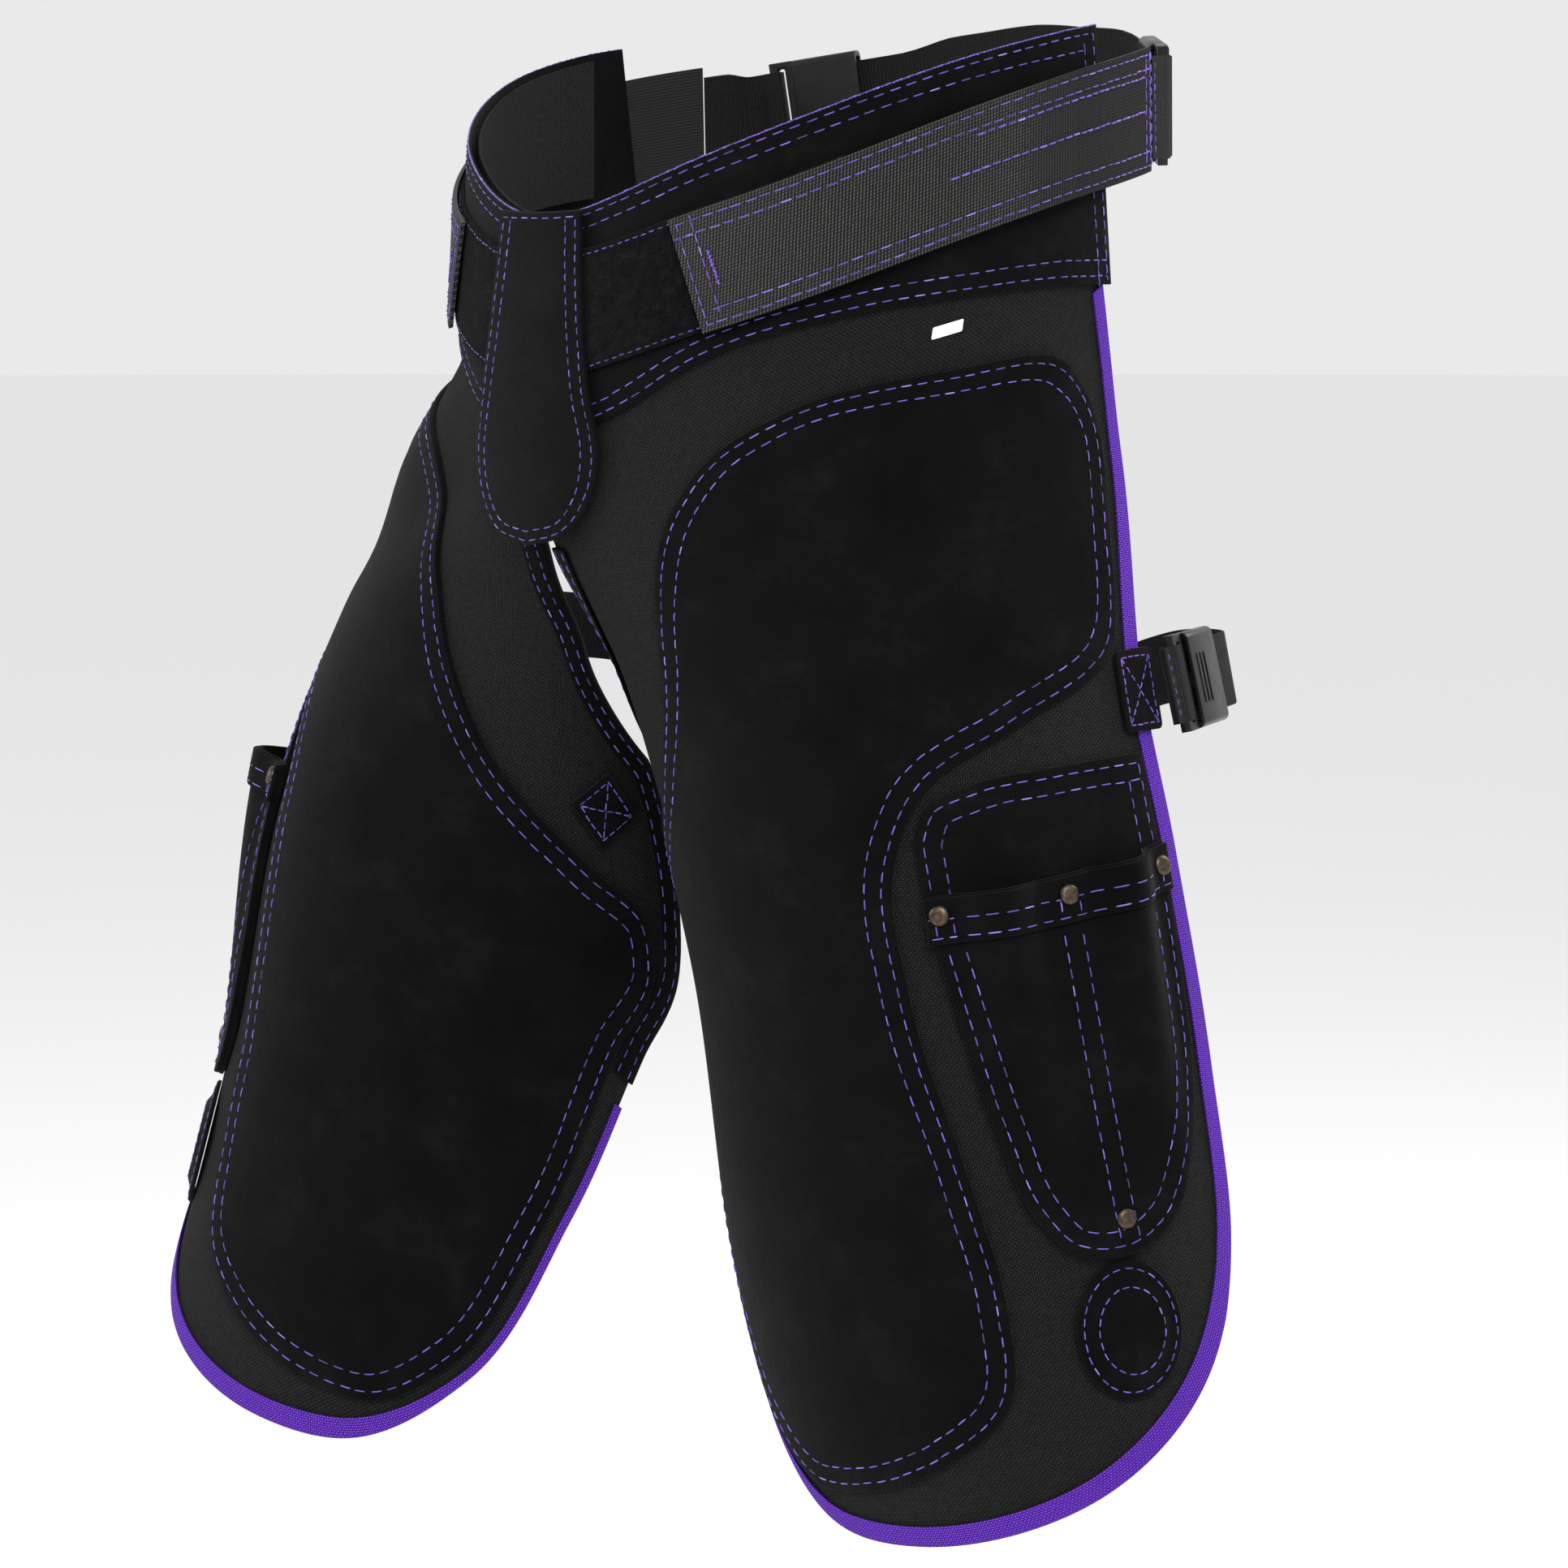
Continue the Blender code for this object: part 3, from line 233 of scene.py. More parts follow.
def tube_point(side, angle, t, lift):
    """Point on the body: ANGLE round from the front (outward positive), T down, LIFT off the surface."""
    out, back, up, across, deep, _, tip, splay = ring_at(side, t)
    tip, splay = np.radians(tip), np.radians(splay)
    sine, cosine = np.sin(angle), np.cos(angle)
    above_hip = 1.0 if side == 0 else 1 - smoothstep(HIP_T, 0.24, t)
    deep = np.where(cosine < 0, deep * (LEG_BACK_RATIO + (BACK_RATIO - LEG_BACK_RATIO) * above_hip), deep)
    x = out + across * sine * np.cos(splay)
    y = back - deep * cosine * np.cos(tip)
    z = up + across * sine * np.sin(splay) + deep * cosine * np.sin(tip)
    if side != 0:
        soft = 0.012
        kept = MIDPLANE_GAP + soft * np.log1p(np.exp(np.clip((x - MIDPLANE_GAP) / soft, -40, 40)))
        x = x + (kept - x) * smoothstep(0.17, 0.26, t)
    if side == -1:
        lift = lift + thigh_push(angle, t)
    x = x + lift * sine * np.cos(splay)
    y = y - lift * cosine * np.cos(tip)
    z = z + lift * (sine * np.sin(splay) + cosine * np.sin(tip))
    return np.stack(np.broadcast_arrays(x * (side or 1), y, z), -1)


def leg_angle(side, s, t):
    ring = ring_at(side, t)
    return np.radians(ring[5]) + np.asarray(s, float) * 2 / (ring[3] + ring[4])


def leg_place(side):
    return lambda s, t, lift: tube_point(side, leg_angle(side, s, t), t, lift)


def waist_place(a, t, lift):
    """A is the arc round the waist from the front, positive to the wearer's left."""
    return tube_point(0, np.asarray(a, float) / WAIST_MEAN, t, lift)


def belt_t(angle):
    table = np.array(BELT_LINE)
    turned = np.degrees(np.abs(np.asarray(angle, float)))
    return hermite(table[:, 0], table[:, 1], np.minimum(turned, 360 - turned), 0.0)


def belt_place(side):
    """Round the waist on the belt line: arc, true distance below the line, lift."""
    def place(a, v, lift):
        angle = np.asarray(a, float) / WAIST_MEAN
        middle = tube_point(0, angle, belt_t(angle), lift)
        lower = tube_point(0, angle, belt_t(angle) + 0.002, lift)
        point = middle + unit(lower - middle) * np.asarray(v, float)[..., None]
        return point * np.array([side, 1, 1])
    return place


def stand_off(x, bend):
    """Extra lift near a buckle at x = 0, where the webbing runs straight and not round the body."""
    straight = (x - BUCKLE_MID) ** 2 / (2 * bend)
    return straight * smoothstep(-0.045, -0.005, x) * (1 - smoothstep(0.055, 0.130, x))


def straightened(place, middle_h):
    """The same run, but exactly straight through the buckle at its start."""
    matrix = local_frame(place, BUCKLE_MID, 0.0, middle_h)
    below = place(BUCKLE_MID, 0.001, middle_h) - place(BUCKLE_MID, -0.001, middle_h)
    down = 1 if np.array(matrix)[:3, 1] @ below > 0 else -1

    def run(x, v, lift):
        x = np.asarray(x, float)
        share = smoothstep(-0.030, -0.010, x) * (1 - smoothstep(0.072, 0.100, x))
        straight = at_frame(matrix, x - BUCKLE_MID, np.asarray(v, float) * down, lift - middle_h)
        return place(x, v, lift) + (straight - place(x, v, lift)) * share[..., None]
    return run


def back_belt_run(side):
    """Place on the belt behind the wearer: distance past the buckle's front, distance below, lift."""
    def place(x, v, lift):
        x = np.asarray(x, float)
        extra = stand_off(x, WAIST_BEND) + stand_off(BELT_RUN - x, WAIST_BEND)
        return belt_place(side)(BUCKLE_A + x, v, lift + extra)
    return straightened(place, BELT_H)


def back_belt_place(x, v, lift):
    """The whole belt: the left buckle's run for its first half, the right buckle's for the rest."""
    x = np.asarray(x, float)
    near = back_belt_run(1)(x, v, lift)
    far = back_belt_run(-1)(BELT_RUN - x, v, lift)
    return np.where((x < BELT_RUN / 2)[..., None], near, far)


def leg_strap_run(side):
    """The same on the strap behind a thigh, which ends inside the panel's inner edge."""
    def place(x, v, lift):
        x = np.asarray(x, float)
        t = LEG_STRAP_T + (STRAP_END_T - LEG_STRAP_T) * smoothstep(0.10, 0.42, x)
        first = leg_angle(side, LEG_BUCKLE_S, LEG_STRAP_T)
        last = leg_angle(side, INNER_PATCH_AT[0] - 0.012, STRAP_END_T) + 2 * math.pi
        angle = first + (last - first) * x / LEG_STRAP_RUN
        base = lift + stand_off(x, LEG_BEND) - LEG_STRAP_DROP * smoothstep(0.30, 0.46, x)
        middle = tube_point(side, angle, t, base)
        lower = tube_point(side, angle, t + 0.002, base)
        return middle + unit(lower - middle) * np.asarray(v, float)[..., None]
    return straightened(place, LEG_STRAP_H)


def local_frame(place, u, v, lift):
    """Matrix at a point of a laid sheet: X along u, Z square to the sheet and off the body."""
    step = 0.001
    here = place(u, v, lift)
    along = unit(place(u + step, v, lift) - place(u - step, v, lift))
    down = place(u, v + step, lift) - place(u, v - step, lift)
    off = unit(np.cross(along, down))
    if off @ (place(u, v, lift + step) - here) < 0:
        off = -off
    side = np.cross(off, along)
    return Matrix([[along[k], side[k], off[k], here[k]] for k in range(3)] + [[0, 0, 0, 1]])


def at_frame(matrix, x, v, lift):
    """Points of a straight strap in a buckle's own frame, as world positions."""
    array = np.array(matrix)
    x, v, lift = np.broadcast_arrays(np.asarray(x, float), v, lift)
    return np.stack([x, v, lift], -1) @ array[:3, :3].T + array[:3, 3]


def buckle_frame(place, middle_h):
    return local_frame(place, BUCKLE_MID, 0.0, middle_h) @ Matrix.Translation((-BUCKLE_MID, 0, 0))


def arc(degrees):
    return math.radians(degrees) * WAIST_MEAN


def centre_seam_s(side, t):
    """Where the panel's front edge runs just beside the middle of the body."""
    out, _, _, across, deep, turn, _, splay = ring_at(side, t)
    beside = SEAM_GAP + 0.007 * smoothstep(0.13, 0.21, t) - 0.020 * smoothstep(0.24, 0.34, t)
    angle = -np.arcsin(np.clip((out - beside) / (across * np.cos(np.radians(splay))), -1, 1))
    return (angle - np.radians(turn)) * (across + deep) / 2


def pocket_swell(s, t):
    """Each pocket's front stands open at its mouth and closes towards its seams."""
    left_s, mid_s, right_s = 0.088, POCKET_DIVIDER_S, 0.209
    u = np.where(s < mid_s, (s - left_s) / (mid_s - left_s), (s - mid_s) / (right_s - mid_s))
    across = np.sin(np.pi * np.clip((u - SEAM_SHARE) / (1 - 2 * SEAM_SHARE), 0, 1))
    down = np.clip((POCKET_BOTTOM_T - 0.012 - t) / (POCKET_BOTTOM_T - 0.36), 0, 1) ** 1.3
    return POCKET_SWELL * across * down


def flap_lift(a, t):
    """The flap's lower end leans in where the legs part."""
    return -FLAP_LEAN_IN * smoothstep(0.03, 0.17, t)


# ---------------------------------------------------------------- outlines
def length_along(points):
    return np.concatenate([[0], np.cumsum(np.linalg.norm(np.diff(points, axis=0), axis=1))])


def smooth_run(points, spacing=OUTLINE_STEP):
    """Points along a smooth open curve through POINTS, about SPACING apart."""
    points = np.array(points, float)
    length = length_along(points)
    at = np.linspace(0, length[-1], max(2, round(length[-1] / spacing)) + 1)
    return np.stack([hermite(length, points[:, k], at) for k in (0, 1)], -1)


def smooth_loop(points, spacing=OUTLINE_STEP):
    """The same for a closed curve: the ends overlap so that the curve joins smoothly."""
    array = np.array(points[-3:] + points + points[:4], float)
    length = length_along(array)
    start, end = length[3], length[3 + len(points)]
    at = np.linspace(start, end, max(6, round((end - start) / spacing)), endpoint=False)
    return np.stack([hermite(length, array[:, k], at) for k in (0, 1)], -1)


def straight_run(points, spacing=OUTLINE_STEP):
    """Points along straight lines between POINTS, corners kept."""
    made = [np.array(points[0], float)]
    for a, b in zip(points, points[1:]):
        a, b = np.array(a, float), np.array(b, float)
        steps = max(1, round(float(np.linalg.norm(b - a)) / spacing))
        made += [a + (b - a) * k / steps for k in range(1, steps + 1)]
    return np.array(made)


def closed(points):
    return np.vstack([points, points[:1]])


def circle(radius, count, centre=(0.0, 0.0), oval=1.0):
    turns = np.arange(count) * 2 * math.pi / count
    return np.stack([centre[0] + radius * oval * np.cos(turns), centre[1] + radius * np.sin(turns)], -1)


def rounded_box(half_x, half_y, radius, centre=(0.0, 0.0), steps=5):
    corners = []
    for quarter, (sx, sy) in enumerate(((1, 1), (-1, 1), (-1, -1), (1, -1))):
        for k in range(steps + 1):
            turn = (quarter + k / steps) * math.pi / 2
            corners.append((centre[0] + sx * (half_x - radius) + radius * math.cos(turn),
                            centre[1] + sy * (half_y - radius) + radius * math.sin(turn)))
    return np.array(corners)


def area_of(outline):
    x, y = np.array(outline).T
    return 0.5 * float(np.sum(x * np.roll(y, -1) - y * np.roll(x, -1)))


def inset(outline, distance):
    """The closed outline moved inwards, with its corners kept."""
    points = np.array(outline, float)
    keep = np.linalg.norm(points - np.roll(points, 1, axis=0), axis=1) > 1e-6
    points = points[keep]
    turn = 1.0 if area_of(points) > 0 else -1.0
    before, after = unit(points - np.roll(points, 1, axis=0)), unit(np.roll(points, -1, axis=0) - points)
    normal_a = turn * np.stack([-before[:, 1], before[:, 0]], -1)
    normal_b = turn * np.stack([-after[:, 1], after[:, 0]], -1)
    spread = np.maximum(1 + np.sum(normal_a * normal_b, axis=1, keepdims=True), 0.4)
    return points + distance * (normal_a + normal_b) / spread


def paired_rows(outline, first=0.0045, second=0.0128):
    """Two closed rows of stitching inside an outline."""
    return [closed(inset(outline, first)), closed(inset(outline, second))]


def shifted(path, distance):
    """An open run moved to its right by DISTANCE."""
    path = np.array(path, float)
    tangent = unit(np.gradient(path, axis=0))
    return path + distance * np.stack([-tangent[:, 1], tangent[:, 0]], -1)


def leg_edge(side, spacing=OUTLINE_STEP):
    """The panel's free edge, kept on its own side of the body where the legs meet."""
    edge = smooth_run(OUTER_EDGE, spacing)
    inner = (edge[:, 0] < 0) & (edge[:, 1] < 0.36)
    edge[inner, 0] = np.maximum(edge[inner, 0], centre_seam_s(side, edge[inner, 1]))
    return edge


def canvas_outline(side):
    seam = [(float(centre_seam_s(side, t)), t) for t in np.linspace(0.150, 0.088, 8)]
    top = []
    for degrees in np.linspace(4, 96, 40):
        t = float(hermite(YOKE_LOW_DEG, YOKE_LOW_T, degrees)) - TUCK
        turn = math.radians(float(ring_at(side, t)[5]))
        top.append(((math.radians(degrees) - turn) * WAIST_MEAN, t))
    return np.vstack([leg_edge(side), seam, top])


def yoke_run(points, low_deg, high_deg, count=90):
    table = np.array(points)
    degrees = np.linspace(low_deg, high_deg, count)
    t = hermite(table[:, 0], table[:, 1], np.abs(degrees), 0.0)
    return np.stack([np.radians(degrees) * WAIST_MEAN, t], -1)


# ---------------------------------------------------------------- materials
class Finish:
    """A material with a procedural look, written as a short chain of nodes."""

    def __init__(self, name, colour, roughness, metallic=0.0, specular=0.5, sheen=0.0, sheen_rough=0.5):
        self.material = bpy.data.materials.new(name)
        self.material.use_nodes = True
        self.tree = self.material.node_tree
        self.shader = self.tree.nodes["Principled BSDF"]
        for socket, value in (("Base Color", (*colour, 1.0)), ("Roughness", roughness),
                              ("Metallic", metallic), ("Specular IOR Level", specular),
                              ("Sheen Weight", sheen), ("Sheen Roughness", sheen_rough)):
            self.shader.inputs[socket].default_value = value

    def add(self, kind, **settings):
        node = self.tree.nodes.new("ShaderNode" + kind)
        for name, value in settings.items():
            setattr(node, name, value)
        return node

    def feed(self, socket, value):
        if isinstance(value, bpy.types.NodeSocket):
            self.tree.links.new(value, socket)
        else:
            socket.default_value = value

    def maths(self, operation, a, b=0.0):
        node = self.add("Math", operation=operation)
        self.feed(node.inputs[0], a)
        self.feed(node.inputs[1], b)
        return node.outputs[0]

    def times(self, a, b):
        return self.maths("MULTIPLY", a, b)

    def plus(self, a, b):
        return self.maths("ADD", a, b)

    def pattern(self):
        """Where a point lies on the flat cut: across, down, in metres."""
        node = self.add("Attribute", attribute_name="pattern")
        split = self.add("SeparateXYZ")
        self.tree.links.new(node.outputs["Vector"], split.inputs[0])
        return node.outputs["Vector"], split.outputs[0], split.outputs[1]

    def noise(self, where, scale, detail=3.0, rough=0.5):
        node = self.add("TexNoise")
        self.tree.links.new(where, node.inputs["Vector"])
        node.inputs["Scale"].default_value = scale
        node.inputs["Detail"].default_value = detail
        node.inputs["Roughness"].default_value = rough
        return node.outputs["Fac"]

    def ramp(self, factor, stops):
        node = self.add("ValToRGB")
        self.tree.links.new(factor, node.inputs[0])
        while len(node.color_ramp.elements) < len(stops):
            node.color_ramp.elements.new(0.5)
        for element, (place, colour) in zip(node.color_ramp.elements, stops):
            element.position = place
            element.color = (*colour, 1.0)
        return node.outputs["Color"]

    def colour(self, socket):
        self.tree.links.new(socket, self.shader.inputs["Base Color"])

    def rough(self, factor, low, high):
        spread = self.add("MapRange")
        self.tree.links.new(factor, spread.inputs[0])
        spread.inputs["To Min"].default_value = low
        spread.inputs["To Max"].default_value = high
        self.tree.links.new(spread.outputs[0], self.shader.inputs["Roughness"])

    def bump(self, height, depth, strength=1.0):
        node = self.add("Bump")
        node.inputs["Distance"].default_value = depth
        node.inputs["Strength"].default_value = strength
        self.tree.links.new(height, node.inputs["Height"])
        self.tree.links.new(node.outputs[0], self.shader.inputs["Normal"])

    def weave(self, across, down, pitch_a, pitch_b):
        """Height of a plain weave: yarns pass over and under by turns. Returns height and which is on top."""
        u, v = self.maths("DIVIDE", across, pitch_a), self.maths("DIVIDE", down, pitch_b)
        cells = self.plus(self.maths("FLOOR", u), self.maths("FLOOR", v))
        odd = self.maths("ABSOLUTE", self.maths("MODULO", cells, 2.0))
        hump_u = self.maths("SINE", self.times(self.maths("FRACT", u), math.pi))
        hump_v = self.maths("SINE", self.times(self.maths("FRACT", v), math.pi))
        warp = self.times(hump_u, self.plus(self.times(hump_v, 0.6), 0.4))
        weft = self.times(hump_v, self.plus(self.times(hump_u, 0.6), 0.4))
        over = self.times(warp, odd)
        under = self.times(weft, self.maths("SUBTRACT", 1.0, odd))
        return self.plus(over, under), odd


def canvas_finish():
    finish = Finish("canvas", (0.012, 0.012, 0.012), 0.95, specular=0.12, sheen=0.02)
    where, across, down = finish.pattern()
    height, odd = finish.weave(across, down, YARN, YARN)
    slub = finish.noise(where, 420.0, 3.0)
    tone = finish.times(height, finish.plus(finish.times(odd, 0.35), 0.65))
    tone = finish.times(tone, finish.plus(slub, 0.55))
    finish.colour(finish.ramp(tone, [(0.10, (0.0015, 0.0015, 0.0015)), (0.50, (0.0085, 0.0085, 0.0082)),
                                     (0.95, (0.034, 0.034, 0.033))]))
    finish.bump(height, 0.0007)
    return finish.material


def suede_finish():
    finish = Finish("suede", (0.0045, 0.0045, 0.0045), 0.95, specular=0.08, sheen=0.035, sheen_rough=0.45)
    where, _, _ = finish.pattern()
    patches = finish.noise(where, 24.0, 4.0, 0.6)
    nap = finish.noise(where, 1400.0, 4.0, 0.7)
    streaks = finish.noise(where, 160.0, 3.0)
    tone = finish.plus(finish.times(patches, 0.6), finish.times(nap, 0.28))
    tone = finish.plus(tone, finish.times(streaks, 0.12))
    finish.colour(finish.ramp(tone, [(0.36, (0.0008, 0.0008, 0.0008)), (0.54, (0.0022, 0.0022, 0.0022)),
                                     (0.70, (0.0068, 0.0066, 0.0062))]))
    height = finish.plus(finish.times(nap, 0.5), streaks)
    finish.bump(height, 0.0006, 0.7)
    finish.rough(nap, 0.85, 1.0)
    return finish.material


def binding_finish():
    finish = Finish("binding", (0.10, 0.02, 0.42), 0.70, specular=0.15)
    where, along, across = finish.pattern()
    height, odd = finish.weave(along, across, 0.00105, 0.00120)
    fleck = finish.noise(where, 900.0, 2.0)
    tone = finish.times(height, finish.plus(finish.times(odd, 0.3), 0.7))
    tone = finish.plus(tone, finish.times(finish.maths("SUBTRACT", fleck, 0.5), 0.5))
    finish.colour(finish.ramp(tone, [(0.10, (0.014, 0.002, 0.080)), (0.45, (0.085, 0.012, 0.400)),
                                     (0.95, (0.300, 0.090, 0.880))]))
    finish.bump(height, 0.0006)
    return finish.material


def thread_finish():
    finish = Finish("thread", (0.25, 0.15, 0.55), 0.45, specular=0.5, sheen=0.2)
    shade = finish.add("Attribute", attribute_name="shade").outputs["Fac"]
    finish.colour(finish.ramp(shade, [(0.0, (0.022, 0.008, 0.085)), (0.45, (0.085, 0.036, 0.340)),
                                      (0.80, (0.180, 0.085, 0.560)), (1.0, (0.290, 0.190, 0.640))]))
    where = finish.pattern()[0]
    finish.bump(finish.noise(where, 2600.0, 2.0), 0.0002)
    return finish.material


def webbing_finish():
    finish = Finish("webbing", (0.005, 0.005, 0.005), 0.75, specular=0.15, sheen=0.01)
    where, along, across = finish.pattern()
    height, _ = finish.weave(along, across, 0.0018, 0.0010)
    fleck = finish.noise(where, 700.0, 2.0)
    tone = finish.times(height, finish.plus(fleck, 0.5))
    finish.colour(finish.ramp(tone, [(0.1, (0.0015, 0.0015, 0.0016)), (0.95, (0.012, 0.012, 0.0125))]))
    finish.bump(height, 0.0005)
    return finish.material


def elastic_finish():
    """Grey cords on black, which turn black behind the sewn-on webbing."""
    finish = Finish("elastic", (0.02, 0.02, 0.02), 0.70, specular=0.3, sheen=0.05)
    where, along, across = finish.pattern()
    rib = finish.maths("ABSOLUTE", finish.maths("SINE", finish.times(along, math.pi / RIB_PITCH)))
    ply = finish.maths("SINE", finish.times(across, 2 * math.pi / 0.0016))
    cord = finish.times(rib, finish.plus(finish.times(ply, 0.25), 0.75))
    fleck = finish.noise(where, 800.0, 2.0)
    cord = finish.times(cord, finish.plus(fleck, 0.5))
    fade = finish.add("MapRange")
    finish.tree.links.new(along, fade.inputs[0])
    fading = (("From Min", arc(FADE_START_DEG)), ("From Max", arc(FADE_END_DEG)), ("To Min", 1.0),
              ("To Max", 0.16))
    for socket, value in fading:
        fade.inputs[socket].default_value = value
    cord = finish.times(cord, fade.outputs[0])
    finish.colour(finish.ramp(cord, [(0.22, (0.0016, 0.0016, 0.0016)), (0.52, (0.010, 0.010, 0.0095)),
                                     (0.98, (0.070, 0.070, 0.065))]))
    finish.bump(finish.plus(cord, finish.times(ply, 0.3)), 0.0003)
    return finish.material


def plush_finish():
    finish = Finish("plush", (0.004, 0.004, 0.0045), 1.0, specular=0.05, sheen=0.03, sheen_rough=0.3)
    where, _, _ = finish.pattern()
    loops = finish.noise(where, 900.0, 4.0, 0.8)
    clumps = finish.noise(where, 210.0, 3.0)
    tone = finish.plus(finish.times(loops, 0.6), finish.times(clumps, 0.4))
    finish.colour(finish.ramp(tone, [(0.42, (0.0016, 0.0016, 0.0020)), (0.55, (0.0050, 0.0050, 0.0058)),
                                     (0.70, (0.020, 0.020, 0.024))]))
    finish.bump(loops, 0.0012)
    return finish.material


def plastic_finish():
    finish = Finish("buckle_plastic", (0.0035, 0.0035, 0.0036), 0.3, specular=0.30)
    where = finish.add("TexCoord").outputs["Object"]
    grain = finish.noise(where, 1500.0, 2.0)
    scuffs = finish.noise(where, 90.0, 5.0, 0.7)
    finish.rough(scuffs, 0.18, 0.46)
    finish.colour(finish.ramp(scuffs, [(0.35, (0.0028, 0.0028, 0.0029)), (0.80, (0.0065, 0.0065, 0.0067))]))
    finish.bump(grain, 0.00008, 0.6)
    return finish.material


def bronze_finish():
    finish = Finish("rivet_bronze", (0.19, 0.13, 0.09), 0.4, metallic=1.0)
    where = finish.add("TexCoord").outputs["Object"]
    patina = finish.noise(where, 500.0, 5.0, 0.65)
    finish.colour(finish.ramp(patina, [(0.30, (0.040, 0.028, 0.020)), (0.60, (0.105, 0.078, 0.058)),
                                       (0.80, (0.160, 0.122, 0.092))]))
    finish.rough(patina, 0.50, 0.28)
    finish.bump(patina, 0.00015, 0.5)
    return finish.material


def steel_finish():
    finish = Finish("magnet_steel", (0.55, 0.55, 0.56), 0.3, metallic=1.0)
    where = finish.add("TexCoord").outputs["Object"]
    brushed = finish.noise(where, 700.0, 4.0)
    finish.rough(brushed, 0.22, 0.42)
    finish.bump(brushed, 0.00006, 0.5)
    return finish.material


def label_finish():
    finish = Finish("label", (0.80, 0.80, 0.79), 0.6, specular=0.3)
    where, across, down = finish.pattern()
    height, _ = finish.weave(across, down, 0.0005, 0.0005)
    finish.colour(finish.ramp(height, [(0.0, (0.66, 0.66, 0.66)), (0.8, (0.86, 0.86, 0.85))]))
    finish.bump(height, 0.0001)
    return finish.material


FINISH = {"canvas_fabric": canvas_finish(), "suede_leather": suede_finish(),
          "purple_binding": binding_finish(), "thread": thread_finish(), "nylon_webbing": webbing_finish(),
          "elastic_tape": elastic_finish(), "plush_tape": plush_finish(), "buckle_plastic": plastic_finish(),
          "rivet_bronze": bronze_finish(), "magnet_steel": steel_finish(), "white_label": label_finish()}


# ---------------------------------------------------------------- making and riding
def piece(name, bm, slot, smooth_deg=50):
    mesh = bpy.data.meshes.new(name)
    bm.to_mesh(mesh)
    bm.free()
    mesh.shade_smooth()
    mesh.set_sharp_from_angle(angle=math.radians(smooth_deg))
    obj = bpy.data.objects.new(name, mesh)
    bpy.context.scene.collection.objects.link(obj)
    mesh.materials.append(FINISH[slot])
    return obj


def settle(obj, rider, replaced=()):
    """Say what the piece moves with and stands for. RIDER ends in _cloth where it bends."""
    if rider.endswith("_cloth"):
        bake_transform(obj)
    else:
        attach(obj, rider)
    if replaced:
        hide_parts(*replaced)
    return obj


def flat_solid(outlines, thickness):
    """Closed slab of one or more outlines (later ones are holes), as a bmesh with its base at z = 0."""
    data = bpy.data.curves.new("outline", "CURVE")
    data.dimensions = "2D"
    data.fill_mode = "BOTH"
    data.extrude = thickness / 2
    for outline in outlines:
        spline = data.splines.new("POLY")
        spline.points.add(len(outline) - 1)
        for point, (x, y) in zip(spline.points, outline):
            point.co = (x, y, 0, 1)
        spline.use_cyclic_u = True
    guide = bpy.data.objects.new("outline", data)
    bpy.context.scene.collection.objects.link(guide)
    graph = bpy.context.evaluated_depsgraph_get()
    mesh = bpy.data.meshes.new_from_object(guide.evaluated_get(graph))
    bm = bmesh.new()
    bm.from_mesh(mesh)
    bpy.data.objects.remove(guide, do_unlink=True)
    bpy.data.curves.remove(data)
    bpy.data.meshes.remove(mesh)
    bmesh.ops.remove_doubles(bm, verts=bm.verts[:], dist=1e-6)
    bmesh.ops.translate(bm, verts=bm.verts[:], vec=(0, 0, thickness / 2))
    bmesh.ops.dissolve_limit(bm, angle_limit=0.01, verts=bm.verts[:], edges=bm.edges[:])
    return bm


def round_rim(bm, thickness, radius):
    """Round the slab's rim on its outer face."""
    rim = [edge for edge in bm.edges
           if all(abs(vertex.co.z - thickness) < 1e-6 for vertex in edge.verts)
           and len(edge.link_faces) == 2 and edge.calc_face_angle(0) > 0.5]
    bmesh.ops.bevel(bm, geom=rim, offset=radius, offset_type="OFFSET", segments=2, profile=0.5,
                    affect="EDGES", clamp_overlap=True)


def crease(bm, pitches):
    """Cut a flat slab along a grid so that it can bend there."""
    for axis, pitch in enumerate(pitches):
        if not pitch:
            continue
        low = min(v.co[axis] for v in bm.verts)
        high = max(v.co[axis] for v in bm.verts)
        for k in range(math.ceil(low / pitch), math.floor(high / pitch) + 1):
            plane_co, plane_no = Vector(), Vector()
            plane_co[axis], plane_no[axis] = k * pitch, 1
            bmesh.ops.bisect_plane(bm, geom=bm.verts[:] + bm.edges[:] + bm.faces[:], dist=1e-6,
                                   plane_co=plane_co, plane_no=plane_no)


def lay(bm, place, low, swell=None, ripple=None):
    """Move each point (across, down, thickness) of a slab to its place, and note where it was on the cut."""
    flat = np.array([v.co for v in bm.verts])
    lift = low + flat[:, 2]
    if swell:
        lift = lift + swell(flat[:, 0], flat[:, 1])
    if ripple:
        lift = lift + ripple(flat[:, 0], flat[:, 1], flat[:, 2])
    noted = bm.verts.layers.float_vector.new("pattern")
    for vertex, point in zip(bm.verts, place(flat[:, 0], flat[:, 1], lift)):
        vertex[noted] = vertex.co
        vertex.co = point
    face_out(bm)


def face_out(bm):
    bmesh.ops.recalc_face_normals(bm, faces=bm.faces[:])
    if bm.calc_volume(signed=True) < 0:
        bmesh.ops.reverse_faces(bm, faces=bm.faces[:])


def cloth(name, outline, low, thickness, place, slot, rider,
          pitches=(CELL, CELL), swell=None, ripple=None, rim=0.0):
    """A laid sheet of cloth or suede that stands for the CAD node of the same name."""
    bm = flat_solid([outline], thickness)
    if rim:
        round_rim(bm, thickness, rim)
    crease(bm, pitches)
    lay(bm, place, low, swell, ripple)
    obj = piece(f"{name}_fabric", bm, slot)
    settle(obj, rider, [name])


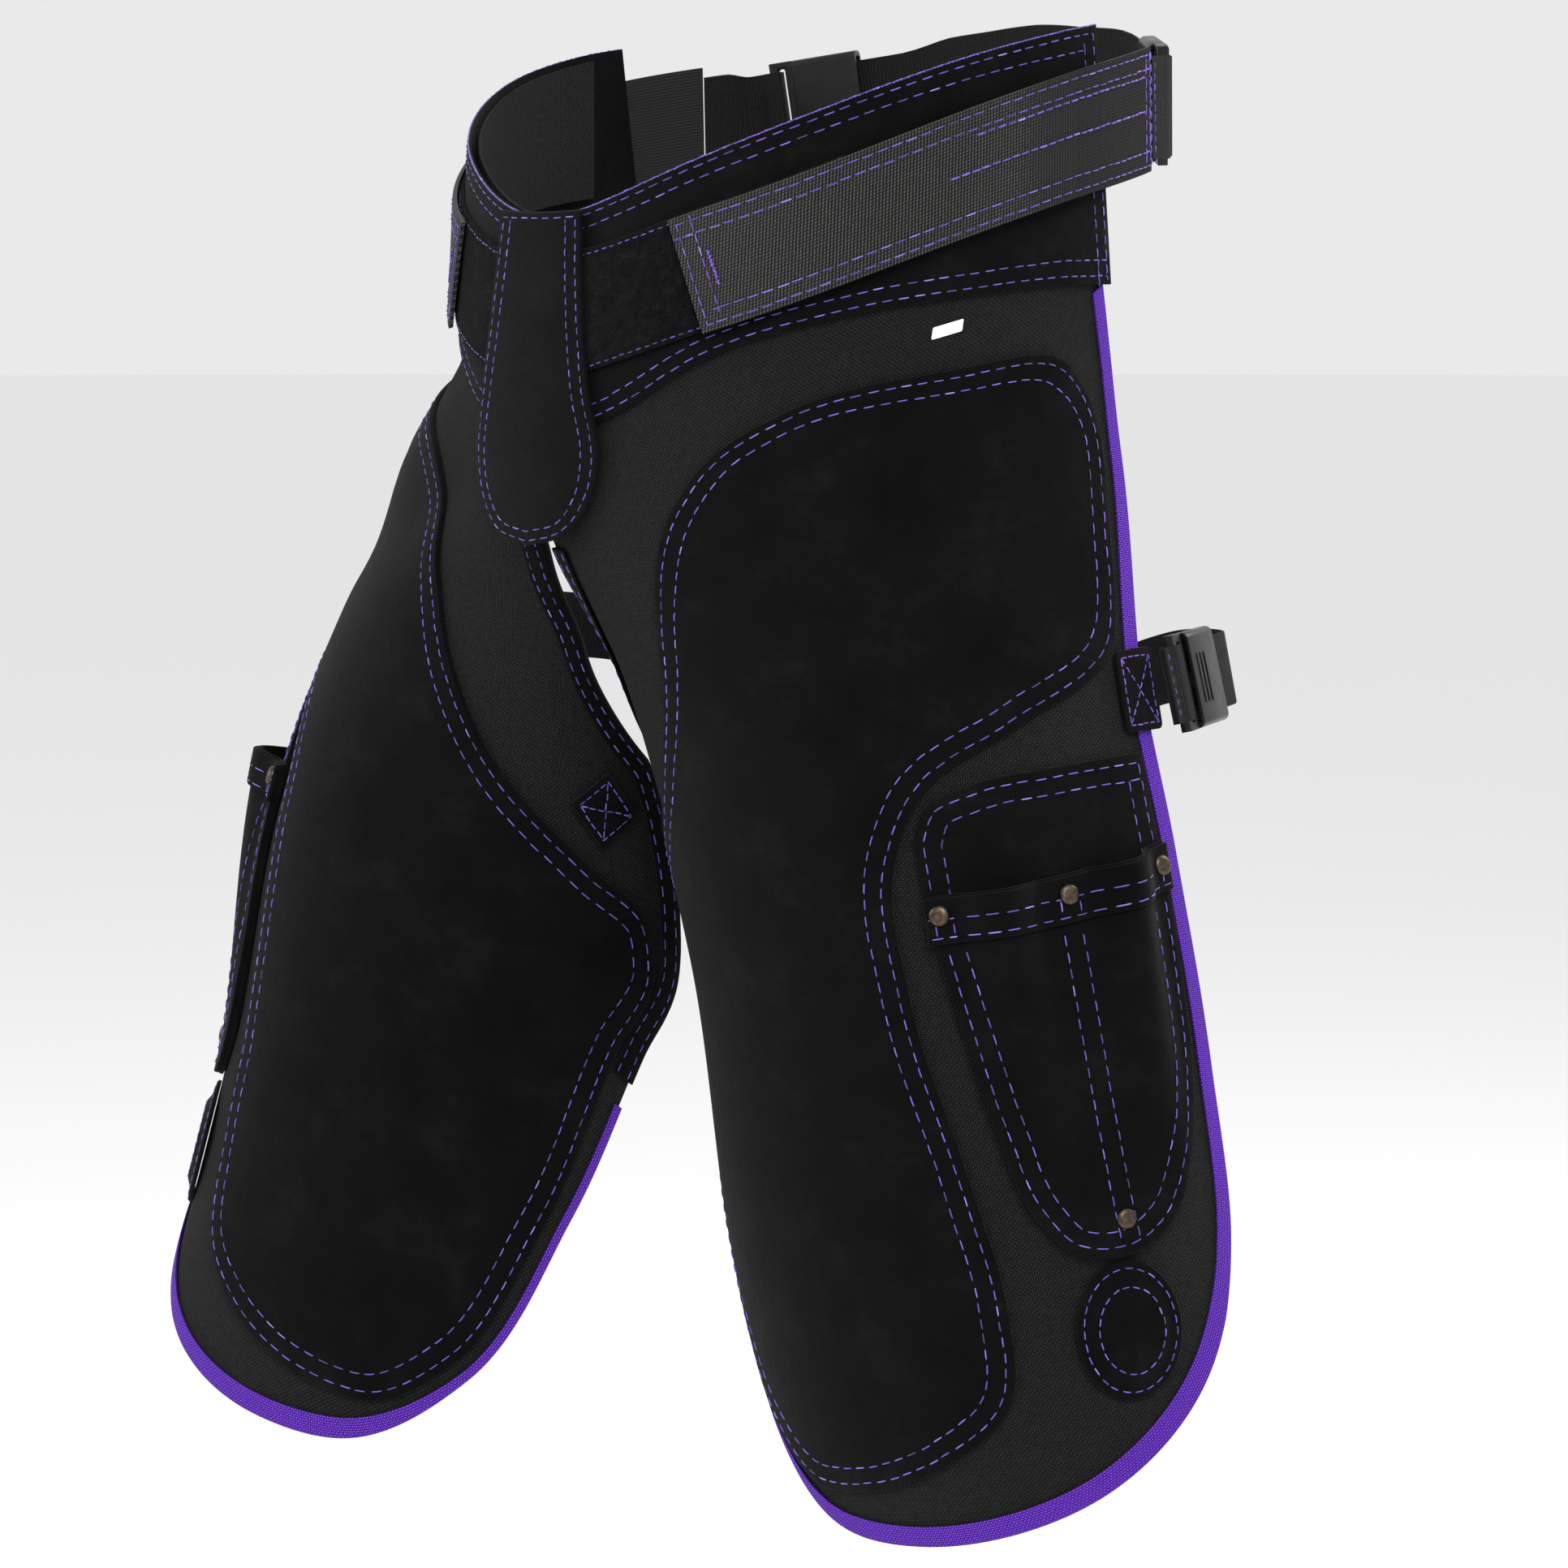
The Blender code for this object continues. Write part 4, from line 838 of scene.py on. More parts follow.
RANDOM = np.random.default_rng(7)
STATIONS = np.array([-1.0, -0.72, 0.0, 0.72, 1.0])
STATION_RISE = np.array([-0.5, 0.35, 0.75, 0.35, -0.5])
STATION_WIDTH = np.array([0.45, 0.95, 1.0, 0.95, 0.45])
ROUND_STEPS = 6


def stitches(name, runs, place, lift, rider, swell=None, pitch=STITCH_PITCH, length=STITCH_LENGTH,
             thread=THREAD, bright=0.55):
    """Rows of sewn stitches along RUNS on a laid sheet, each a short thread that dips at both ends."""
    flat = []
    for run in runs:
        run = np.array(run, float)
        along = length_along(run)
        count = int(along[-1] / pitch)
        if count < 1:
            continue
        middle = (np.arange(count) + 0.5) * along[-1] / count
        middle = middle + RANDOM.normal(0, 0.03 * pitch, count)
        at = middle[:, None] + STATIONS[None, :] * length / 2
        wander = RANDOM.normal(0, 0.00012, count)[:, None]
        flat.append(np.stack([np.interp(at, along, run[:, 0]) + wander,
                              np.interp(at, along, run[:, 1]) + wander], -1))
    flat = np.concatenate(flat)
    total = len(flat)
    base = np.full(flat.shape[:2], lift) + (swell(flat[..., 0], flat[..., 1]) if swell else 0.0)
    centres = place(flat[..., 0], flat[..., 1], base + STATION_RISE * thread)
    off = unit(place(flat[..., 0], flat[..., 1], base + 0.001) - place(flat[..., 0], flat[..., 1], base))
    tangent = unit(np.gradient(centres, axis=1))
    side = unit(np.cross(tangent, off))
    turns = np.arange(ROUND_STEPS) * 2 * math.pi / ROUND_STEPS
    half = (STATION_WIDTH * thread)[None, :, None, None]
    ring = side[:, :, None] * np.cos(turns)[:, None] + off[:, :, None] * 0.8 * np.sin(turns)[:, None]
    points = centres[:, :, None] + ring * half
    rows = len(STATIONS)
    faces = []
    for k in range(total):
        start = k * rows * ROUND_STEPS
        for r in range(rows - 1):
            for j in range(ROUND_STEPS):
                a, b = start + r * ROUND_STEPS + j, start + r * ROUND_STEPS + (j + 1) % ROUND_STEPS
                faces.append((a, b, b + ROUND_STEPS, a + ROUND_STEPS))
        faces.append([start + j for j in reversed(range(ROUND_STEPS))])
        faces.append([start + (rows - 1) * ROUND_STEPS + j for j in range(ROUND_STEPS)])
    mesh = bpy.data.meshes.new(name)
    mesh.from_pydata(points.reshape(-1, 3).tolist(), [], faces)
    bm = bmesh.new()
    bm.from_mesh(mesh)
    bmesh.ops.recalc_face_normals(bm, faces=bm.faces[:])
    bm.to_mesh(mesh)
    bm.free()
    mesh.shade_smooth()
    shade = np.clip(RANDOM.normal(bright, 0.20, total), 0, 1)
    each = rows * ROUND_STEPS
    shades = mesh.attributes.new("shade", "FLOAT", "POINT")
    shades.data.foreach_set("value", np.repeat(shade, each).astype("f"))
    on_cut = np.concatenate([flat, np.zeros((*flat.shape[:2], 1))], -1).reshape(-1, 3)
    noted = mesh.attributes.new("pattern", "FLOAT_VECTOR", "POINT")
    noted.data.foreach_set("vector", np.repeat(on_cut, ROUND_STEPS, axis=0).ravel().astype("f"))
    obj = bpy.data.objects.new(name, mesh)
    bpy.context.scene.collection.objects.link(obj)
    mesh.materials.append(FINISH["thread"])
    settle(obj, rider)


def folded(front_lip, back_lip, cloth_t, room, steps=6):
    """Rounded U section round a sheet's edge, as (reach outwards, lift)."""
    top, bottom, reach = CANVAS + room, -room - 0.0005, 0.0012
    middle, half = (top + bottom) / 2, (top - bottom) / 2
    bend = reach * 0.2
    outer = [(-front_lip, top + cloth_t), (-front_lip * 0.5, top + cloth_t * 1.15), (bend, top + cloth_t)]
    for k in range(1, steps):
        turn = math.pi / 2 - math.pi * k / steps
        out = bend + (reach - bend + cloth_t) * math.cos(turn)
        outer.append((out, middle + (half + cloth_t) * math.sin(turn)))
    outer += [(bend, bottom - cloth_t), (-back_lip, bottom - cloth_t)]
    inner = [(-back_lip, bottom), (reach * 0.6, bottom), (reach, middle), (reach * 0.6, top),
             (-front_lip, top)]
    return np.array(outer + inner)


def edge_binding(name, path, section_at, place, slot, rider):
    """Strip folded over a sheet's edge: a U section swept along the flat edge PATH, sheet on its left."""
    bm = bmesh.new()
    noted = bm.verts.layers.float_vector.new("pattern")
    tangent = unit(np.gradient(path, axis=0))
    outward = np.stack([tangent[:, 1], -tangent[:, 0]], -1)
    along = length_along(path)
    rings = []
    for k, (point, out) in enumerate(zip(path, outward)):
        section = section_at(k / (len(path) - 1))
        flat = point + out * section[:, :1]
        round_it = length_along(section)
        made = []
        for p, v in zip(place(flat[:, 0], flat[:, 1], section[:, 1]), round_it):
            vertex = bm.verts.new(p)
            vertex[noted] = (along[k], v, 0)
            made.append(vertex)
        rings.append(made)
    count = len(rings[0])
    for first, second in zip(rings, rings[1:]):
        for k in range(count):
            bm.faces.new((first[k], first[(k + 1) % count], second[(k + 1) % count], second[k]))
    for ring in (rings[0], rings[-1]):
        bm.faces.new(ring)
    face_out(bm)
    obj = piece(f"{name}_tape", bm, slot, 60)
    settle(obj, rider, [name])
    outside = section_at(0.3)[:-5]


# ---------------------------------------------------------------- waist
def make_waist():
    end_top, end_low = YOKE_TOP[-1][0], YOKE_LOW[-1][0]
    low_row = yoke_run(YOKE_LOW, -end_low, end_low)[::-1]
    top_row = yoke_run(YOKE_TOP, -end_top, end_top)
    ends = [straight_run([top_row[-1], low_row[0]])[1:-1], straight_run([low_row[-1], top_row[0]])[1:-1]]
    outline = np.vstack([top_row, ends[0], low_row, ends[1]])
    cloth("yoke", outline, YOKE_H, SUEDE, waist_place, "suede_leather", "waist", rim=0.0007)
    stitches("yoke_stitching", paired_rows(outline), waist_place, YOKE_H + SUEDE, "waist", bright=0.50)

    over = shifted(top_row, 0.0004)
    stitches("yoke_overlock", [over], waist_place, YOKE_H + SUEDE * 0.55, "waist", pitch=0.0019,
             length=0.0024, thread=0.00055, bright=0.45)
    lining = top_row[4:-4] + np.array([0, LINING_IN])
    lower = np.stack([lining[:, 0], np.minimum(LINING_LOW_T, lining[:, 1] + LINING_DEPTH)], -1)[::-1]
    cloth("yoke_lining", np.vstack([lining, lower]), LINING_H, LINING_THICK, waist_place, "canvas_fabric",
          "waist")

    end = arc(LOOP_END_DEG)
    strip = straight_run([(-end, BELT_WIDTH / 2), (end, BELT_WIDTH / 2), (end, -BELT_WIDTH / 2),
                          (-end, -BELT_WIDTH / 2), (-end, BELT_WIDTH / 2)])[:-1]
    cloth("loop_strip", strip, LOOP_H, LOOP_THICK, belt_place(1), "plush_tape", "waist",
          pitches=(FINE_CELL, FINE_CELL), rim=0.0006)
    rows = [closed(inset(strip, 0.0025))]
    stitches("loop_strip_stitching", rows, belt_place(1), LOOP_H + LOOP_THICK, "waist", pitch=0.0045,
             length=0.0028, thread=0.00032, bright=0.25)


def make_fly_flap():
    """Suede tongue that hangs over the front seam, with a round lower end."""
    low = FLAP_TOP_T + FLAP_LENGTH_T
    right = [(FLAP_TOP_HALF, FLAP_TOP_T), (0.034, -0.020), (0.041, 0.050),
             (FLAP_LOW_HALF, 0.105), (0.044, low - 0.034), (0.027, low - 0.008), (0.0, low)]
    half = smooth_run(right)
    outline = np.vstack([half, np.stack([-half[:-1, 0], half[:-1, 1]], -1)[::-1]])
    cloth("fly_flap", outline, FLAP_H, SUEDE, waist_place, "suede_leather", "fly_flap",
          swell=flap_lift, rim=0.0007, pitches=(FINE_CELL, FINE_CELL))
    rows = [closed(inset(outline, 0.0035)), inset(outline, 0.0100)]
    stitches("fly_flap_stitching", rows, waist_place, FLAP_H + SUEDE, "fly_flap", flap_lift, bright=0.45)


def rib_height(a, v, height):
    """The elastic's cords stand up across the tab, on its outer face."""
    return np.where(height > TAB_THICK / 2, 0.00045 * np.abs(np.sin(a * math.pi / RIB_PITCH)) - 0.0003, 0)


def make_belt_side(label, side):
    place = belt_place(side)
    half = BELT_WIDTH / 2
    top, low, seam = arc(TAB_TOP_DEG), arc(TAB_LOW_DEG), arc(TAB_SEAM_DEG)
    corners = [(top, -half), (seam, -half), (seam, half), (low, half), (top, -half)]
    tab = straight_run(corners, 0.002)[:-1]
    rider = f"{label}_tab"
    cloth(f"{label}_hook_tab", tab, TAB_H, TAB_THICK, place, "elastic_tape", rider, ripple=rib_height,
          pitches=(RIB_PITCH / 4, 0.010))
    rows = paired_rows(straight_run(corners)[:-1], 0.0034, 0.0102)
    top_h = TAB_H + TAB_THICK + ON_TOP
    stitches(f"{label}_hook_tab_stitching", rows, place, top_h, rider, pitch=0.0068)
    zigzag = [(top + 0.0205 + 0.0012 * (k % 2) + 0.0004 * k, -0.010 + 0.0011 * k) for k in range(18)]
    middle = [(arc(MIDDLE_ROW_DEG), 0.0), (seam - 0.012, 0.0)]
    stitches(f"{label}_hook_tab_tack", [straight_run(zigzag, 0.0005)], place, TAB_H + TAB_THICK + 0.0003,
             rider, pitch=0.0016, length=0.0017, thread=0.00055)
    stitches(f"{label}_hook_tab_rear_stitching",
             [straight_run([(seam - 0.0018, -half + 0.002), (seam - 0.0018, half - 0.002)]), middle,
              straight_run([(arc(LOWER_ROW_DEG), -0.0165), (seam - 0.012, -0.0165)])],
             place, top_h, rider, pitch=0.0052, length=0.0044, thread=0.0005, bright=0.50)
    hook_end, inner = arc(HOOK_END_DEG), half - TAB_INSET
    hook = [(top + 1.5 * TAB_INSET, -inner), (hook_end, -inner), (hook_end, inner), (low + TAB_INSET, inner)]
    hook = straight_run(hook + hook[:1])[:-1]
    cloth(f"{label}_hook_tape", hook, HOOK_H, HOOK_THICK, place, "plush_tape", rider,
          pitches=(CELL, 0.01))

    run = back_belt_run(side)
    reach = BUCKLE_A - seam - 0.0012
    webbing_loop(f"{label}_webbing_loop", BACK_BELT_WIDTH - 0.001, reach, run, BELT_H, "waist")
    matrix = buckle_frame(run, BELT_H)
    buckle_male(f"{label}_waist_buckle_male", BACK_BELT_WIDTH, matrix, "waist")
    buckle_female(f"{label}_waist_buckle_female", BACK_BELT_WIDTH, matrix, f"{label}_waist_release")


def make_back_belt():
    """Webbing from inside one buckle sleeve, round the back, into the other."""
    half = BACK_BELT_WIDTH / 2 - 0.001
    far = BELT_RUN - STRAP_START
    outline = straight_run([(STRAP_START, -half), (far, -half), (far, half), (STRAP_START, half),
                            (STRAP_START, -half)])[:-1]
    cloth("back_belt", outline, BELT_H - WEBBING / 2, WEBBING, back_belt_place, "nylon_webbing", "waist",
          pitches=(0.006, 0.0), rim=0.0004)


BUCKLE_BAR = 0.0045
BUCKLE_SLOT = 0.0042
PRONG_LENGTH = 0.020
PRONG_THICK = 0.0050
SLEEVE_LENGTH = 0.036
SLEEVE_THICK = 0.0105
SLEEVE_WALL = 0.0020


def webbing_loop(name, width, reach, place, middle_h, rider):
    """Webbing folded round a buckle's bar, both plies running back for REACH."""
    half, ply_end = PRONG_THICK / 2 + TOUCH, WEBBING + TOUCH / 2
    nose = BUCKLE_BAR + TOUCH
    inner = [(-reach, TOUCH / 2), (-0.009, TOUCH / 2), (-0.001, half), (nose, half)]
    outer = [(-reach, ply_end), (-0.010, ply_end), (-0.006, ply_end + 0.0006), (-0.002, half + WEBBING),
             (nose, half + WEBBING), (nose + 0.7 * WEBBING, half + 0.7 * WEBBING), (nose + WEBBING, half)]
    outline = outer + [(x, -h) for x, h in reversed(outer)]
    outline += [(x, -h) for x, h in inner] + inner[::-1]
    bm = flat_solid([outline], width)
    crease(bm, (0.004, 0.0))
    for vertex in bm.verts:
        x, h, across = vertex.co
        vertex.co = (x, across - width / 2, h)
    lay(bm, place, middle_h)
    obj = piece(f"{name}_fabric", bm, "nylon_webbing", 40)
    settle(obj, rider, [name])
    rows = [[(0.003 - reach, -width / 2 + 0.002), (0.003 - reach, width / 2 - 0.002)]]
    stitches(f"{name}_stitching", rows, place, middle_h + ply_end, rider, pitch=0.0050, length=0.0036,
             bright=0.4)


# ---------------------------------------------------------------- buckles
def plate_piece(name, outlines, thickness, matrix, rider, replaced, rim):
    bm = flat_solid(outlines, thickness)
    sharp = [edge for edge in bm.edges if len(edge.link_faces) == 2 and edge.calc_face_angle(0) > 0.6]
    bmesh.ops.bevel(bm, geom=sharp, offset=rim, offset_type="OFFSET", segments=3, profile=0.5, affect="EDGES",
                    clamp_overlap=True)
    face_out(bm)
    bmesh.ops.transform(bm, matrix=matrix, verts=bm.verts[:])
    settle(piece(name, bm, "buckle_plastic", 35), rider, replaced)


def buckle_male(name, webbing_width, matrix, rider):
    """Frame with a webbing slot, and three prongs that point along +X."""
    half = webbing_width / 2 + BUCKLE_BAR
    base = 2 * BUCKLE_BAR + BUCKLE_SLOT
    tip = base + PRONG_LENGTH
    arm_out, arm_in, guide = half - 0.0040, half - 0.0085, 0.0035
    side = [(0, half), (base, half), (base, arm_out - 0.0012), (tip - 0.008, arm_out - 0.0012),
            (tip - 0.007, arm_out), (tip - 0.001, arm_out - 0.002), (tip - 0.001, arm_in + 0.001),
            (tip - 0.004, arm_in), (base, arm_in), (base, guide), (tip - 0.002, guide), (tip, guide - 0.002)]
    outline = side + [(x, -y) for x, y in reversed(side)]
    slot = rounded_box(BUCKLE_SLOT / 2, webbing_width / 2 + 0.0008, 0.001,
                       (BUCKLE_BAR + BUCKLE_SLOT / 2, 0), steps=2)
    lowered = matrix @ Matrix.Translation((0, 0, -PRONG_THICK / 2))
    plate_piece(f"{name}_detail", [outline, slot], PRONG_THICK, lowered, rider, [name], 0.0007)


def buckle_female(name, webbing_width, matrix, rider):
    """Sleeve that the prongs enter at one end and the belt's webbing at the other, with grip ribs."""
    half = webbing_width / 2 + BUCKLE_BAR
    start = 2 * BUCKLE_BAR + BUCKLE_SLOT + 0.0006
    shell = rounded_box(half, SLEEVE_THICK / 2, 0.0035, steps=6)
    hollow = rounded_box(half - 0.0028, SLEEVE_THICK / 2 - SLEEVE_WALL, 0.001, steps=2)
    lengthwise = Matrix(((0, 0, 1, start), (1, 0, 0, 0), (0, 1, 0, 0), (0, 0, 0, 1)))
    plate_piece(f"{name}_detail", [shell, hollow], SLEEVE_LENGTH, matrix @ lengthwise, rider, [name], 0.0008)
    for k in range(3):
        ridge = rounded_box(0.0009, half * 0.52, 0.0008, (start + 0.008 + 0.005 * k, 0))
        raised = matrix @ Matrix.Translation((0, 0, SLEEVE_THICK / 2 - 0.0003))
        plate_piece(f"{name}_ridge_{k + 1}", [ridge], 0.0009, raised, rider, (), 0.0003)


# ---------------------------------------------------------------- legs
def make_pocket(label, place, rider):
    sides = smooth_run(POCKET_SIDES)
    low = CANVAS + LAYERED
    backing = np.vstack([sides, smooth_run(POCKET_TOP)])
    cloth(f"{label}_pocket_backing", backing, low, SEWN_H + SUEDE - low, place, "suede_leather", rider,
          rim=0.0008)
    stitches(f"{label}_pocket_backing_stitching", paired_rows(backing), place, SEWN_H + SUEDE, rider)
    mouth = smooth_run(POCKET_MOUTH)
    front = np.vstack([sides, mouth])
    low = SEWN_H + SUEDE + ON_TOP
    cloth(f"{label}_pocket_front", front, low, POCKET_H + SUEDE - low, place, "suede_leather", rider,
          swell=pocket_swell, rim=0.0007, pitches=(FINE_CELL, CELL))
    band_h = POCKET_H + SUEDE + ON_TOP
    deep = np.array([0, BAND_DEPTH])
    band = np.vstack([mouth + [0, 0.001], (mouth + deep)[::-1]])
    cloth(f"{label}_pocket_band", band, band_h, BAND_THICK, place, "suede_leather", rider,
          swell=pocket_swell, rim=0.0007, pitches=(FINE_CELL, FINE_CELL))
    band_top = band_h + BAND_THICK
    rows = [mouth + [0, down] for down in MOUTH_ROWS]
    ends = [[(s, t + 0.010), (s, t + 0.023)] for s, t in ((0.0925, 0.353), (0.1000, 0.352), (0.2030, 0.335))]
    beside = POCKET_DIVIDER_S - DIVIDER_ROW, POCKET_DIVIDER_S + DIVIDER_ROW
    pair = [[(s, 0.3535), (s, 0.3690)] for s in beside]
    stitches(f"{label}_pocket_band_stitching", rows + [straight_run(r) for r in ends + pair], place, band_top,
             rider, pocket_swell, bright=0.58)
    sewn = inset(front, 0.0050), inset(front, 0.0130)
    rows = [run[run[:, 1] > 0.378 - 0.14 * (run[:, 0] - 0.09)] for run in sewn]
    pair = [straight_run([(s, 0.375), (s, 0.532)]) for s in beside]
    stitches(f"{label}_pocket_stitching", rows + pair, place, POCKET_H + SUEDE + 0.0003, rider, pocket_swell,
             bright=0.5)

    for number, (s, t) in enumerate(RIVETS, 1):
        base = band_top if number < len(RIVETS) else POCKET_H + SUEDE
        matrix = local_frame(place, s, t, base + TOUCH / 4 + float(pocket_swell(s, t)))
        profile = [(0, 0.0021), (0.0012, 0.0022), (0.0026, 0.0022), (0.0038, 0.0019), (0.0046, 0.0013),
                   (RIVET_RADIUS, 0.0005), (RIVET_RADIUS, 0.0), (0, 0)]
        rivet = f"{label}_rivet_{number}"
        turned(f"{rivet}_cap", profile, 32, matrix, "rivet_bronze", rider, [rivet])


def turned(name, profile, steps, matrix, slot, rider, replaced):
    """Body of revolution about its own Z, from a profile at +X that runs top to bottom."""
    bm = bmesh.new()
    noted = bm.verts.layers.float_vector.new("pattern")
    verts = [bm.verts.new((x, 0, z)) for x, z in profile]
    edges = [bm.edges.new(pair) for pair in zip(verts, verts[1:])]
    bmesh.ops.spin(bm, geom=verts + edges, axis=(0, 0, 1), cent=(0, 0, 0), steps=steps, angle=2 * math.pi)
    bmesh.ops.remove_doubles(bm, verts=bm.verts[:], dist=1e-6)
    for vertex in bm.verts:
        vertex[noted] = vertex.co
    face_out(bm)
    bmesh.ops.transform(bm, matrix=matrix, verts=bm.verts[:])
    obj = piece(name, bm, slot, 40)
    return settle(obj, rider, replaced)


def make_magnet(label, place, rider):
    matrix = local_frame(place, *MAGNET_AT, CANVAS + TOUCH)
    rim, top = MAGNET_COVER_RADIUS, MAGNET_FACE + MAGNET_SUEDE
    profile = [(0, top), (0.0190, top), (0.0215, top - 0.0004), (0.0240, 0.0034), (0.0268, 0.0026),
               (0.0300, 0.0024), (rim - 0.0008, 0.0021), (rim, 0.0012), (rim, 0), (rim - 0.0015, 0),
               (0.0300, 0.0008), (0.0228, 0.0012), (0.0205, MAGNET_FACE), (0, MAGNET_FACE)]
    oval = Matrix.Diagonal((MAGNET_COVER_OVAL, 1, 1, 1))
    obj = turned(f"{label}_magnet_cover_fabric", profile, 64, matrix @ oval, "suede_leather", rider,
                 [f"{label}_magnet_cover"])

    def on_disc(x, y, lift):
        return at_frame(matrix, x, y, lift)

    outer, inner = (closed(circle(radius, count, oval=MAGNET_COVER_OVAL))
                    for radius, count in ((0.0290, 72), (0.0205, 60)))
    stitches(f"{label}_magnet_outer_stitching", [outer], on_disc, 0.00245, rider, pitch=0.0060,
             length=0.0042)
    stitches(f"{label}_magnet_inner_stitching", [inner], on_disc, 0.00490, rider, pitch=0.0055,
             length=0.0038)


def make_bindings(label, side, place, rider):
    """Woven tape round the outer edge and hem, then suede from there up to the slit's top."""
    coarse = leg_edge(side, CAD_SPACING)
    low = np.argmax(coarse[:, 1])
    changeover = low + int(np.argmin(np.abs(coarse[low:, 1] - CHANGEOVER_T)))
    edge = leg_edge(side, EDGE_SPACING)
    end = int(np.argmin(np.linalg.norm(edge - coarse[changeover], axis=1)))
    start = int(np.argmin(np.linalg.norm(edge - coarse[changeover + 1], axis=1)))
    first = int(np.argmax(edge[:, 1] > TAPE_START_T))

    def tape_section(u):
        front = BINDING_WIDTH - (BINDING_WIDTH - 0.0030) * float(smoothstep(0.74, 0.84, u))
        return folded(front, BINDING_WIDTH, 0.0009, 0.0006)

    edge_binding(f"{label}_outer_binding", edge[first:end + 1], tape_section, place, "purple_binding", rider)
    edge_binding(f"{label}_inner_binding", edge[start:],
                 lambda u: folded(INNER_BINDING_WIDTH, INNER_BINDING_WIDTH, 0.0010, 0.0014),
                 place, "suede_leather", rider)
    top = CANVAS + 0.0014 + 0.0010
    rows = [shifted(edge[start:], 0.0025), shifted(edge[start:], 0.0088)]
    stitches(f"{label}_inner_binding_stitching", rows, place, top, rider, bright=0.5)


def make_leg_strap(label, side, place, body):
    run = leg_strap_run(side)
    matrix = buckle_frame(run, LEG_STRAP_H)
    centre = (STRAP_TAB_S, LEG_STRAP_T)
    half_x, half_y = STRAP_TAB_HALF, LEG_STRAP_WIDTH / 2 + 0.001
    tab = rounded_box(half_x, half_y, 0.003, centre)
    cloth(f"{label}_outer_strap_tab", tab, STRAP_TAB_H, SUEDE, place, "suede_leather", body, rim=0.0006,
          pitches=(FINE_CELL, FINE_CELL))
    x, y = half_x - 0.0035, half_y - 0.0035
    around = ((-1, -1), (1, -1), (1, 1), (-1, 1), (-1, -1))
    corners = [(centre[0] + sx * x, centre[1] + sy * y) for sx, sy in around]
    cross = [[corners[0], corners[2]], [corners[1], corners[3]]]
    stitches(f"{label}_outer_strap_tab_stitching", [straight_run(corners)] + cross, place,
             STRAP_TAB_H + SUEDE, body, pitch=BOX_PITCH, length=BOX_STITCH)
    patch = circle(INNER_PATCH_HALF, 4, INNER_PATCH_AT)
    low = CANVAS + LAYERED
    cloth(f"{label}_inner_strap_patch", patch, low, INNER_PATCH_H + SUEDE - low, place, "suede_leather",
          body, rim=0.0007, pitches=(FINE_CELL, FINE_CELL))
    middle = np.array(INNER_PATCH_AT)
    cross = [[middle - arm, middle + arm] for arm in (np.array([0.014, 0]), np.array([0, 0.014]))]
    stitches(f"{label}_inner_strap_patch_stitching", [closed(inset(patch, 0.0032))] + cross, place,
             INNER_PATCH_H + SUEDE, body, pitch=BOX_PITCH, length=0.0038)

    buckle_male(f"{label}_leg_buckle_male", LEG_STRAP_WIDTH, matrix, body)
    buckle_female(f"{label}_leg_buckle_female", LEG_STRAP_WIDTH, matrix, f"{label}_leg_release")
    webbing_loop(f"{label}_leg_webbing_loop", LEG_STRAP_WIDTH - 0.001, 0.0112, run, LEG_STRAP_H, body)
    half = LEG_STRAP_WIDTH / 2 - 0.001
    strap = straight_run([(STRAP_START, -half), (LEG_STRAP_RUN, -half), (LEG_STRAP_RUN, half),
                          (STRAP_START, half), (STRAP_START, -half)])[:-1]
    cloth(f"{label}_leg_strap", strap, LEG_STRAP_H - WEBBING / 2, WEBBING, run, "nylon_webbing", body,
          pitches=(0.006, 0.0), rim=0.0004)


def make_leg(label, side):
    place, rider, body = leg_place(side), f"{label}_cloth", f"{label}_leg"
    cloth(f"{label}_canvas_panel", canvas_outline(side), 0.0, CANVAS, place, "canvas_fabric", rider)
    low = CANVAS + LAYERED
    patch = smooth_loop(THIGH_PATCH)
    cloth(f"{label}_thigh_patch", patch, low, SEWN_H + SUEDE - low, place, "suede_leather", rider,
          rim=0.0008)
    stitches(f"{label}_thigh_patch_stitching", paired_rows(patch), place, SEWN_H + SUEDE, rider)
    make_bindings(label, side, place, rider)
    make_pocket(label, place, body)
    make_magnet(label, place, body)
    make_leg_strap(label, side, place, body)


make_waist()
make_fly_flap()
make_back_belt()
for side_label, side_sign in SIDES.items():
    make_belt_side(side_label, side_sign)
    make_leg(side_label, side_sign)
tag = rounded_box(LABEL_SIZE[0] / 2, LABEL_SIZE[1] / 2, 0.0008, LABEL_AT)
cloth("size_label", tag, CANVAS + TOUCH, 0.0004, leg_place(1), "white_label", "left_cloth",
      pitches=(0.004, 0.004))

